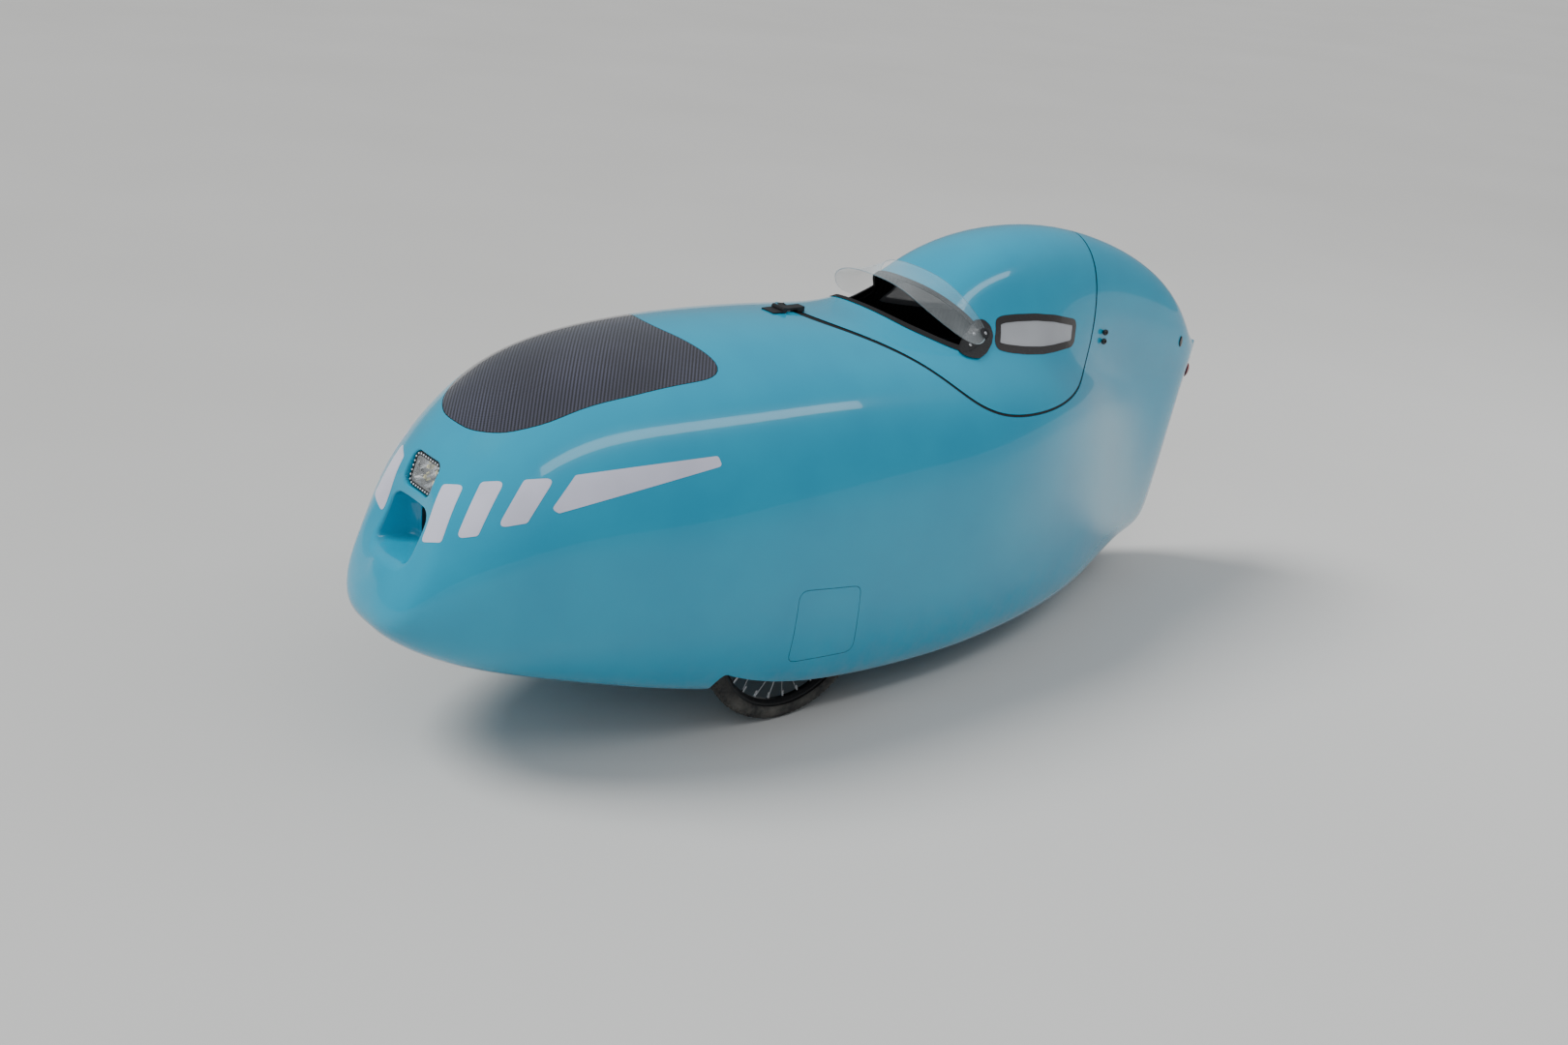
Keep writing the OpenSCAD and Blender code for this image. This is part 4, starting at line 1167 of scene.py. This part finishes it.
def build_lamp():
    """The lamp: its pocket in the skin, a black case, small marker lights, a facetted mirror and a clear cover."""
    sizes = bpy.context.scene.velomobile_nose
    axes = lamp_axes()
    origin, right, up = axes
    axis = right.cross(up)
    walls = [(0.006, 1.0, 1.0, 0, 0.3), (0.03, 0.995, 0.995, 0, 1.0)]
    rows = lip_rows(LAMP_LOOP, axes, [4] * len(LAMP_LOOP), walls)
    pocket = rows_to_mesh("lamp_pocket", rows, [paint_material()], close_last=False)
    place_piece(pocket, "hull", "paint")

    def ring(shape, level):
        return [origin + right * (p[0] / 1000) + up * (p[1] / 1000) + axis * level for p in shape]

    outer = grow(LAMP_LOOP, -1.2)
    front = 0.020 - sizes.lamp_depth
    rows = [ring(outer, -0.030), ring(outer, front - 0.0015), ring(grow(outer, -1.5), front),
            ring(grow(outer, -8), front), ring(grow(outer, -9), front - 0.001), ring(grow(outer, -10.5), front - 0.009)]
    case = rows_to_mesh("lamp_case", rows, [black_gloss()], close_last=False)
    place_piece(case, "hull", "black_plastic", "headlight_housing")

    inner = np.array(grow(outer, -4.7))
    spacing = np.concatenate([[0], np.cumsum(np.linalg.norm(np.roll(inner, -1, 0) - inner, axis=1))])
    spots = []
    for k in range(sizes.lamp_beads):
        d = spacing[-1] * k / sizes.lamp_beads
        i = int(np.searchsorted(spacing, d, "right")) - 1
        t = (d - spacing[i]) / max(spacing[i + 1] - spacing[i], 1e-9)
        p = inner[i] * (1 - t) + inner[(i + 1) % len(inner)] * t
        spots.append(ring([p], front)[0])
    bead = stamp_screw(0.0020, 0.0014, 12)
    beads = stamped("lamp_marker_lights", spots, [tuple(axis)] * len(spots), bead,
                    moulded("Lit marker", (0.85, 0.88, 0.92), 0.15, 500.0, 0.00002, coat=0.8, dust=0.0))
    place_piece(beads, "hull", "lens")

    mirror = moulded("Lamp mirror", (0.86, 0.88, 0.90), 0.07, 300.0, 0.00003, metallic=1.0, dust=0.0, spread=0.03)
    verts, faces = [], []
    nx, ny = 12, 9
    for iy in range(ny + 1):
        for ix in range(nx + 1):
            u, v = ix / nx * 2 - 1, iy / ny * 2 - 1
            bowl = 0.016 * (1 - min(1.0, u * u * 0.55 + v * v * 0.55))
            step = 0.0016 * ((ix * 5 + iy * 3) % 4 - 1.5)
            x, z = u * 43.4 * (1 - 0.06 * v * v), v * 27.6 * (1 - 0.06 * u * u)
            verts.append(origin + right * (x / 1000) + up * (z / 1000) + axis * (front - 0.006 - bowl + step))
    for iy in range(ny):
        for ix in range(nx):
            a = iy * (nx + 1) + ix
            faces.append((a, a + 1, a + nx + 2, a + nx + 1))
    reflector = new_object("lamp_mirror", verts, faces, [mirror], smooth=False)
    place_piece(reflector, "hull", "lens")
    bulbs = []
    for sx, sz in ((-1, -1), (-1, 1), (1, -1), (1, 1)):
        bulbs.append(origin + right * (sx * 0.019) + up * (sz * 0.011) + axis * (front - 0.0165))
    chips = stamped("lamp_chips", bulbs, [tuple(axis)] * 4, stamp_block(0.008, 0.006, 0.003, 0.8),
                    moulded("Lamp chip", (0.75, 0.68, 0.30), 0.4, 500.0, 0.00003, dust=0.0))
    place_piece(chips, "hull", "lens")

    clear = glass_material("Lamp cover", (0.90, 0.94, 0.97), 0.16, 0.01)
    shape = grow(outer, -9.2)
    rows = [ring(shape, front - 0.0035), ring(shape, front - 0.0012), ring(grow(shape, -6), front + 0.0004),
            ring(grow(shape, -16), front + 0.0014)]
    cover = rows_to_mesh("lamp_cover", rows, [clear])
    place_piece(cover, "hull", "lens", "headlight_lens")


# ---------------------------------------------------------------- small fittings


def build_fittings():
    low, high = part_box("rear_light")
    centre = (low + high) / 2
    half = (high - low) / 2
    verts, faces = cylinder_rows(centre + Vector((half.x * 0.55, 0, 0)), (-1, 0, 0),
                                 [(half.x * 1.4 * math.sin(t), max(math.cos(t), 0.02)) for t in
                                  [math.pi / 2 * k / 10 for k in range(11)]], 36)
    verts = [Vector((v.x, centre.y + (v.y - centre.y) * half.y, centre.z + (v.z - centre.z) * half.z)) for v in verts]
    lens = soften(tidy(new_object("rear_light_lens", verts, faces, [
        moulded("Red lens", (0.22, 0.006, 0.010), 0.12, 240.0, 0.00008, coat=1.0, dust=0.15)])), 60)
    place_piece(lens, "hull", "rear_lens", "rear_light")

    trim = black_gloss()
    for side, name in ((1, "left_fin_marker"), (-1, "right_fin_marker")):
        place, out = LOOKUP.along(at(2440, side * 300, 649), Vector((0, -side, 0)))
        profile = [(-0.002, 0.0120), (0.0012, 0.0120), (0.0022, 0.0108), (0.0026, 0.0075), (0.0027, 0.0030)]
        verts, faces = cylinder_rows(place, out, profile, 32)
        verts = [Vector((place.x + (v.x - place.x) * 0.75, v.y, place.z + (v.z - place.z) * 1.25)) for v in verts]
        place_piece(soften(new_object(name, verts, faces, [trim]), 40), "hull", "black_plastic")

    low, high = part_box("accessory_inserts")
    x = (low.x + high.x) / 2
    spots = [Vector((x, high.y, z)) for z in (low.z + 0.0045, high.z - 0.0045)]
    knobs = stamped("insert_knobs", spots, [(0.1, 1, 0.05)] * 2, stamp_screw(0.0082, 0.0058, 24), trim)
    place_piece(knobs, "hull", "black_plastic")

    low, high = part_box("hinge_base")
    spots = [Vector((low.x + (high.x - low.x) * 0.72, y, high.z - 0.0095)) for y in (low.y + 0.008, high.y - 0.008)]
    bolts = stamped("hinge_base_screws", spots, [(0, 0, 1)] * 2, stamp_screw(0.0034, 0.0018), steel_material())
    place_piece(bolts, "hull", "alloy")
    low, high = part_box("canopy_hinge")
    spots = [Vector((low.x + 0.010, y, high.z - 0.0105)) for y in (-0.007, 0.007)]
    bolts = stamped("canopy_hinge_screws", spots, [(0.12, 0, 1)] * 2, stamp_screw(0.0034, 0.0018), steel_material())
    place_piece(bolts, "canopy", "alloy")


# ---------------------------------------------------------------- wheels


def wheel_centre(tyre):
    low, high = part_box(tyre)
    return (low + high) / 2, (high.y - low.y) / 2, (high.z - low.z) / 2


def build_wheel(tyre, wheel, body):
    sizes = bpy.context.scene.velomobile_wheels
    centre, half_wide, radius = wheel_centre(tyre)
    rubber = tyre_material()
    high = sizes.tread_height
    section = radius - high
    profile = []
    for k in range(25):
        a = math.radians(-128 + 256 * k / 24)
        profile.append((half_wide * math.sin(a) * (0.985 if abs(a) > 1.2 else 1.0),
                        section - half_wide + half_wide * math.cos(a)))
    inner = radius - 2 * half_wide * 0.80
    profile = [(-half_wide * 0.45, inner)] + profile + [(half_wide * 0.45, inner)]
    n = 144
    verts, faces = cylinder_rows(centre, (0, 1, 0), profile, n, closed=False)
    last = (len(profile) - 1) * n
    faces += [(last + k, last + (k + 1) % n, (k + 1) % n, k) for k in range(n)]
    casing = tidy(new_object(tyre + "_casing", verts, faces, [rubber]))
    soften(casing, 40)
    place_piece(casing, body, "tyre", tyre)
    spots, stands = [], []
    count = sizes.tread_blocks
    for row, lean in enumerate((-44, -22, 0, 22, 44)):
        for k in range(count):
            around = 2 * math.pi * (k + (0.5 if row % 2 else 0)) / count
            tilt = math.radians(lean)
            out = Vector((math.cos(around) * math.cos(tilt), math.sin(tilt), math.sin(around) * math.cos(tilt)))
            ring = Vector((math.cos(around), 0, math.sin(around))) * (section - half_wide)
            spots.append(centre + ring + out * (half_wide - 0.0001))
            stands.append(tuple(out))
    tread = stamped(tyre + "_tread", spots, stands, stamp_block(0.0095, 0.0052, high, 0.8), rubber)
    place_piece(tread, body, "tyre")
    rim = radius - 2 * half_wide * 0.78 - 0.0155
    spots, stands = [], []
    for k in range(sizes.spokes):
        a = 2 * math.pi * k / sizes.spokes
        out = Vector((math.cos(a), 0, -math.sin(a)))
        spots.append(centre + out * (rim - 0.002))
        stands.append(tuple(-out))
    nipples = stamped(tyre.replace("tyre", "nipples"), spots, stands, stamp_block(0.0045, 0.0045, 0.014, 0.7),
                      steel_material())
    place_piece(nipples, body, "alloy")
    place = centre + Vector((0, 0, 1)) * (rim - 0.034)
    verts, faces = cylinder_rows(place, (0, 0, 1), [(0, 0.0022), (0.004, 0.003), (0.012, 0.003), (0.014, 0.0028),
                                                    (0.034, 0.0028)], 16)
    place_piece(soften(new_object(wheel + "_valve", verts, faces, [rubber_material()])), body, "rubber")


def rim_material(name, centre):
    """Black rim and flanges with bright spokes between them."""
    material, n, shader, place = base_material(name)
    if n is None:
        return material
    local = n.add("ShaderNodeMapping", {"Vector": place, "Location": tuple(-centre)}).outputs[0]
    parts = n.add("ShaderNodeSeparateXYZ", {0: local}).outputs
    flat = n.add("ShaderNodeCombineXYZ", {0: parts[0], 2: parts[2]}).outputs[0]
    out = n.add("ShaderNodeVectorMath", {0: flat}, operation="LENGTH").outputs["Value"]
    black = n.math("GREATER_THAN", out, 0.1845)
    surface = n.grain(place, 500.0)
    soil = n.road_dust(local, 0.25)
    metal = n.colour(surface["Blotch"], (0.46, 0.47, 0.49, 1), (0.60, 0.61, 0.63, 1))
    tone = n.colour(black, metal, (0.014, 0.014, 0.015, 1))
    n.join(n.colour(n.math("MULTIPLY", soil["Scuff"], 0.2), tone, (0.2, 0.19, 0.17, 1)), shader.inputs["Base Color"])
    n.join(n.value(black, 1.0, 0.3), shader.inputs["Metallic"])
    n.join(n.value(surface["Height"], 0.22, 0.46), shader.inputs["Roughness"])
    relief(n, shader, surface["Height"], 0.00006)
    return material


# ---------------------------------------------------------------- cockpit


def inflate(obj, swell, voxel, rounding, pressure=4.0):
    """Swells a closed pad by cloth simulation, holding each point within reach of where it began."""
    tool = obj.modifiers.new("even", "REMESH")
    tool.mode = "VOXEL"
    tool.voxel_size = voxel
    take_result(obj)
    tool = obj.modifiers.new("round", "SMOOTH")
    tool.factor = 0.5
    tool.iterations = rounding
    take_result(obj)
    start = point_values(obj.data)
    cloth = obj.modifiers.new("fill", "CLOTH")
    settings = cloth.settings
    settings.use_pressure = True
    settings.uniform_pressure_force = pressure
    settings.effector_weights.gravity = 0
    settings.tension_stiffness = 15
    settings.compression_stiffness = 15
    settings.quality = 5
    cloth.collision_settings.use_collision = False
    cloth.point_cache.frame_start = 1
    cloth.point_cache.frame_end = 20
    scene = bpy.context.scene
    for number in range(1, 21):
        scene.frame_set(number)
    take_result(obj)
    scene.frame_set(1)
    moved = point_values(obj.data) - start
    length = np.maximum(np.linalg.norm(moved, axis=1, keepdims=True), 1e-9)
    moved *= np.minimum(1.0, swell / length)
    obj.data.vertices.foreach_set("co", (start + moved).reshape(-1))
    obj.data.update()
    tool = obj.modifiers.new("even", "SMOOTH")
    tool.factor = 0.5
    tool.iterations = 4
    take_result(obj)
    return obj


def sew_channels(obj, lines, depth, width):
    """Presses sewn channels into a pad: each line is (point, across direction)."""
    mesh = obj.data
    co, no = point_values(mesh), point_values(mesh, "normal")
    for point, across in lines:
        d = np.abs((co - np.array(point)) @ np.array(Vector(across).normalized()))
        co -= no * (depth * np.exp(-(d / width) ** 2))[:, None]
    mesh.vertices.foreach_set("co", co.reshape(-1))
    mesh.update()


def closed_copy(node, name, shrink):
    """A merged copy of a CAD node, drawn in a little."""
    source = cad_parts[node]
    copy = bpy.data.objects.new(name, source.data.copy())
    bpy.context.scene.collection.objects.link(copy)
    tidy(copy)
    copy.data.materials.clear()
    normals = [v.normal.copy() for v in copy.data.vertices]
    for v, normal in zip(copy.data.vertices, normals):
        v.co -= normal * shrink
    return copy


def cover_pad(pad, cloth):
    """Gives a sewn pad its fine mesh and its cloth."""
    tool = pad.modifiers.new("fine", "SUBSURF")
    tool.levels = tool.render_levels = 1
    take_result(pad)
    pad.data.materials.append(cloth)
    shade_all(pad.data)


# Where each sewn channel crosses the seat pad: distance and height
CHANNELS = ((1265, 195), (1345, 158), (1430, 170), (1510, 240), (1575, 320), (1635, 405), (1690, 490), (1745, 570))


def build_pads():
    swell = bpy.context.scene.velomobile_cabin.pad_swell
    cloth = fabric_material()
    seat = closed_copy("seat_pad", "seat_pad_cover", 0.0035)
    inflate(seat, swell * 0.6, 0.0065, 10)
    lines = []
    for s, z in CHANNELS:
        along, rise = (0.82, 0.57) if s > 1480 else (1, 0.1 if s > 1400 else -0.3)
        lines.append((at(s, 0, z), (-along, 0, rise)))
    sew_channels(seat, lines, 0.0035, 0.004)
    cover_pad(seat, cloth)
    place_piece(seat, "hull", "seat_fabric", "seat_pad")
    head = closed_copy("headrest", "headrest_pad", 0.001)
    inflate(head, swell * 0.4, 0.0045, 20, 1.2)
    low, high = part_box("headrest")
    mid = (low + high) / 2
    sew_channels(head, [((mid.x, 0, mid.z + 0.03), (0.3, 0, 1))], 0.0018, 0.003)
    cover_pad(head, cloth)
    place_piece(head, "hull", "seat_fabric", "headrest")


# A brake lever's path ahead of its grip and above its foot, in metres
LEVER = ((0.017, 0.088), (0.032, 0.084), (0.040, 0.064), (0.040, 0.030), (0.044, 0.004))


def build_tiller_trim():
    """Ribbed grips and brake levers on the tiller."""
    low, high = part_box("steering_tiller")
    rubber = rubber_material()
    metal = dark_alloy_material()
    for side, name in ((1, "left"), (-1, "right")):
        x = low.x + 0.015
        y = side * 0.090
        base = high.z - 0.110
        profile = [(0.0, 0.0155)]
        for k in range(12):
            z = 0.006 + k * 0.0085
            profile += [(z, 0.0158), (z + 0.002, 0.0168), (z + 0.0055, 0.0168), (z + 0.0072, 0.0158)]
        profile += [(0.109, 0.0162), (0.1105, 0.0140)]
        verts, faces = cylinder_rows((x, y, base), (0, 0, 1), profile, 36)
        grip = soften(new_object(name + "_grip", verts, faces, [rubber]), 40)
        place_piece(grip, "tiller", "rubber")
        path = [Vector((x + ahead, y, base + rise)) for ahead, rise in LEVER]
        place_piece(tube(name + "_brake_lever", path, 0.0042, metal, 0.7), "tiller", "dark_alloy")


def tube(name, path, radius, material, flat=1.0, sides=16):
    """A round or flattened bar along a smooth path."""
    pts = []
    n = len(path)
    for i in range(n - 1):
        p = [path[max(i - 1, 0)], path[i], path[i + 1], path[min(i + 2, n - 1)]]
        for q in range(6):
            t = q / 6
            pts.append(0.5 * (2 * p[1] + (p[2] - p[0]) * t + (2 * p[0] - 5 * p[1] + 4 * p[2] - p[3]) * t * t
                              + (3 * p[1] - p[0] - 3 * p[2] + p[3]) * t ** 3))
    pts.append(path[-1])
    verts = []
    for i, p in enumerate(pts):
        along = (pts[min(i + 1, len(pts) - 1)] - pts[max(i - 1, 0)]).normalized()
        side = Vector((0, 1, 0))
        other = along.cross(side).normalized()
        for k in range(sides):
            a = 2 * math.pi * k / sides
            verts.append(p + side * math.cos(a) * radius + other * math.sin(a) * radius * flat)
    faces = row_faces(len(pts), sides)
    faces.append(tuple(range(sides)))
    faces.append(tuple((len(pts) - 1) * sides + k for k in range(sides)))
    return soften(tidy(new_object(name, verts, faces, [material])), 40)


def build_crank_trim():
    low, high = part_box("crankset")
    centre = (low + high) / 2
    ring_y = centre.y - 0.041
    spots, stands = [], []
    for k in range(44):
        a = 2 * math.pi * k / 44
        out = Vector((math.cos(a), 0, math.sin(a)))
        spots.append(Vector((centre.x, ring_y, centre.z)) + out * 0.0965)
        stands.append(tuple(out))
    teeth = stamped("chainring_teeth", spots, stands, stamp_block(0.0032, 0.0075, 0.005, 0.5), dark_alloy_material())
    place_piece(teeth, "cranks", "dark_alloy")
    spots, stands = [], []
    for k in range(5):
        a = 2 * math.pi * (k + 0.5) / 5
        spots.append(Vector((centre.x + 0.055 * math.cos(a), ring_y - 0.002, centre.z + 0.055 * math.sin(a))))
        stands.append((0, -1, 0))
    bolts = stamped("chainring_bolts", spots, stands, stamp_screw(0.005, 0.002), steel_material())
    place_piece(bolts, "cranks", "alloy")


CARRIED = {
    "left_wheel_box": laminate_material, "right_wheel_box": laminate_material, "rear_wheel_box": laminate_material,
    "seat_shell": laminate_material, "seat_support": laminate_material, "bottom_bracket_post": laminate_material,
    "left_strut": alloy_material, "right_strut": alloy_material, "left_knuckle": alloy_material,
    "right_knuckle": alloy_material, "tiller_bearing": alloy_material, "left_lower_arm": dark_alloy_material,
    "right_lower_arm": dark_alloy_material, "rear_swing_arm": dark_alloy_material,
    "steering_tiller": dark_alloy_material, "crankset": dark_alloy_material, "left_pedal": black_plastic,
    "right_pedal": black_plastic, "hinge_base": black_plastic, "canopy_hinge": black_plastic,
    "accessory_inserts": black_plastic}


def dress_node(node, material):
    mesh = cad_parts[node].data
    if len(mesh.materials) == 0:
        mesh.materials.append(material)
    for i in range(len(mesh.materials)):
        mesh.materials[i] = material


# ---------------------------------------------------------------- stage


def build_floor():
    material, n, shader, place = base_material("Pale studio floor")
    cloudy = n.noise(place, 0.7, 3.0)
    n.join(n.colour(cloudy, (0.50, 0.50, 0.49, 1), (0.56, 0.56, 0.555, 1)), shader.inputs["Base Color"])
    n.join(n.value(n.noise(place, 30.0), 0.75, 0.9), shader.inputs["Roughness"])
    half = 40.0
    floor = new_object("studio_floor", [(-half, -half, 0), (half, -half, 0), (half, half, 0), (-half, half, 0)],
                       [(0, 1, 2, 3)], [material])


def build_light(name, place, aim, size, power, colour=(1, 1, 1), mirrored=False):
    data = bpy.data.lights.new(name, "AREA")
    data.shape = "RECTANGLE"
    data.size, data.size_y = size
    data.energy = power
    data.color = colour
    lamp = bpy.data.objects.new(name, data)
    lamp.location = place
    lamp.visible_glossy = mirrored
    lamp.rotation_euler = (Vector(aim) - Vector(place)).to_track_quat("-Z", "Y").to_euler()
    bpy.context.scene.collection.objects.link(lamp)


def build_sun():
    data = bpy.data.lights.new("Key", "SUN")
    data.energy = 3.2
    data.angle = 0.45
    data.color = (1.0, 0.98, 0.95)
    lamp = bpy.data.objects.new("Key", data)
    lamp.location = (2.0, -2.0, 4.0)
    lamp.visible_glossy = False
    lamp.rotation_euler = Vector((-0.62, 0.55, -1.1)).to_track_quat("-Z", "Y").to_euler()
    bpy.context.scene.collection.objects.link(lamp)


def build_world():
    world = bpy.data.worlds.new("Studio")
    world.use_nodes = True
    n = Nodes(world.node_tree)
    world.node_tree.nodes.clear()
    out = n.add("ShaderNodeOutputWorld")
    up = n.add("ShaderNodeSeparateXYZ", {0: n.add("ShaderNodeTexCoord").outputs["Generated"]}).outputs[2]
    low = n.colour(n.span(up, -0.05, 0.30), (0.56, 0.57, 0.58, 1), (0.64, 0.69, 0.74, 1))
    sky = n.colour(n.span(up, 0.30, 0.85), low, (1.0, 1.02, 1.05, 1))
    back = n.add("ShaderNodeBackground", {"Color": sky, "Strength": 0.46})
    world.node_tree.links.new(back.outputs[0], out.inputs[0])
    bpy.context.scene.world = world


def build_camera():
    data = bpy.data.cameras.new("View")
    data.lens = 40.0
    data.sensor_width = 36.0
    data.clip_end = 200
    camera = bpy.data.objects.new("View", data)
    yaw, pitch, roll = CAMERA_TURN
    look = Vector((math.cos(pitch) * math.cos(yaw), math.cos(pitch) * math.sin(yaw), math.sin(pitch)))
    right = look.cross(Vector((0, 0, 1))).normalized()
    up = right.cross(look)
    c, s = math.cos(roll), math.sin(roll)
    right, up = right * c + up * s, up * c - right * s
    matrix = Matrix((right, up, -look)).transposed().to_4x4()
    matrix.translation = Vector(CAMERA_PLACE)
    camera.matrix_world = matrix
    bpy.context.scene.collection.objects.link(camera)
    bpy.context.scene.camera = camera


# ---------------------------------------------------------------- operators


class VELOMOBILE_OT_shell(bpy.types.Operator):
    """Make the hull's painted panels and hatches"""

    bl_idname = "velomobile.shell"
    bl_label = "Shell panels"

    def execute(self, context):
        build_lower_shell()
        build_upper_shell()
        build_hatch(1, "left_service_hatch")
        build_hatch(-1, "right_service_hatch")
        build_canopy_seal()
        return {"FINISHED"}


class VELOMOBILE_OT_bonnet(bpy.types.Operator):
    """Make the woven bonnet panel"""

    bl_idname = "velomobile.bonnet"
    bl_label = "Bonnet"

    def execute(self, context):
        build_bonnet()
        return {"FINISHED"}


class VELOMOBILE_OT_marks(bpy.types.Operator):
    """Make the pale bars on the nose"""

    bl_idname = "velomobile.marks"
    bl_label = "Nose marks"

    def execute(self, context):
        build_marks()
        return {"FINISHED"}


class VELOMOBILE_OT_canopy(bpy.types.Operator):
    """Make the canopy with its windows, visor and pivots"""

    bl_idname = "velomobile.canopy"
    bl_label = "Canopy and glazing"

    def execute(self, context):
        build_canopy_shell()
        build_windows()
        build_visor()
        build_pivots()
        return {"FINISHED"}


class VELOMOBILE_OT_nose(bpy.types.Operator):
    """Make the air intake and the lamp"""

    bl_idname = "velomobile.nose"
    bl_label = "Intake and lamp"

    def execute(self, context):
        build_intake()
        build_lamp()
        return {"FINISHED"}


class VELOMOBILE_OT_fittings(bpy.types.Operator):
    """Make the rear light, markers, knobs and screws"""

    bl_idname = "velomobile.fittings"
    bl_label = "Small fittings"

    def execute(self, context):
        build_fittings()
        return {"FINISHED"}


class VELOMOBILE_OT_wheels(bpy.types.Operator):
    """Make the tyres, tread, nipples and valves"""

    bl_idname = "velomobile.wheels"
    bl_label = "Wheels"

    def execute(self, context):
        for tyre, wheel, body in (("left_front_tyre", "left_front_wheel", "left_wheel"),
                                  ("right_front_tyre", "right_front_wheel", "right_wheel"),
                                  ("rear_tyre", "rear_wheel", "back_wheel")):
            build_wheel(tyre, wheel, body)
            dress_node(wheel, rim_material(wheel + " finish", wheel_centre(tyre)[0]))
        return {"FINISHED"}


class VELOMOBILE_OT_cockpit(bpy.types.Operator):
    """Make the seat's pads and the trim of the tiller and cranks"""

    bl_idname = "velomobile.cockpit"
    bl_label = "Cockpit"

    def execute(self, context):
        build_pads()
        build_tiller_trim()
        build_crank_trim()
        return {"FINISHED"}


class VELOMOBILE_OT_carried(bpy.types.Operator):
    """Give the frame's own parts their finishes"""

    bl_idname = "velomobile.carried"
    bl_label = "Frame finishes"

    def execute(self, context):
        for node, finish in CARRIED.items():
            dress_node(node, finish())
        return {"FINISHED"}


class VELOMOBILE_OT_stage(bpy.types.Operator):
    """Make the floor, the lights and the camera"""

    bl_idname = "velomobile.stage"
    bl_label = "Stage"

    def execute(self, context):
        build_floor()
        build_world()
        build_sun()
        build_light("Fill", (4.5, 3.5, 3.0), (0.2, 0, 0.4), (4.0, 3.0), 60, (0.93, 0.97, 1.0))
        build_light("Strip", (0.0, 2.3, 3.5), (0, 0, 0.7), (6.0, 0.5), 40, (0.97, 0.99, 1.0), True)
        build_light("Back", (-4.5, 1.5, 3.2), (-0.4, 0, 0.6), (3.0, 2.5), 60, (0.95, 0.98, 1.0))
        build_camera()
        return {"FINISHED"}


ORDER = (VELOMOBILE_OT_stage, VELOMOBILE_OT_shell, VELOMOBILE_OT_bonnet, VELOMOBILE_OT_marks, VELOMOBILE_OT_canopy,
         VELOMOBILE_OT_nose, VELOMOBILE_OT_fittings, VELOMOBILE_OT_wheels, VELOMOBILE_OT_cockpit,
         VELOMOBILE_OT_carried)


class VELOMOBILE_PT_sidebar(bpy.types.Panel):
    """Lists the velomobile's pieces and their sizes"""

    bl_idname = "VELOMOBILE_PT_sidebar"
    bl_label = "Velomobile"
    bl_space_type = "VIEW_3D"
    bl_region_type = "UI"
    bl_category = "Velomobile"

    def draw(self, context):
        for operator in ORDER:
            self.layout.operator(operator.bl_idname)
        for group in SIZE_GROUPS:
            settings = getattr(context.scene, group)
            for name in settings.__annotations__:
                self.layout.prop(settings, name)


SIZE_GROUPS = {"velomobile_shell": ShellSizes, "velomobile_nose": NoseSizes, "velomobile_cabin": CabinSizes,
               "velomobile_wheels": WheelSizes}
CLASSES = tuple(SIZE_GROUPS.values()) + ORDER + (VELOMOBILE_PT_sidebar,)


def register():
    for item in CLASSES:
        bpy.utils.register_class(item)
    for name, group in SIZE_GROUPS.items():
        setattr(bpy.types.Scene, name, bpy.props.PointerProperty(type=group))


def unregister():
    for name in SIZE_GROUPS:
        delattr(bpy.types.Scene, name)
    for item in reversed(CLASSES):
        bpy.utils.unregister_class(item)


def main():
    register()
    for operator in ORDER:
        getattr(bpy.ops.velomobile, operator.bl_idname.split(".")[1])()


if __name__ == "__main__":
    main()
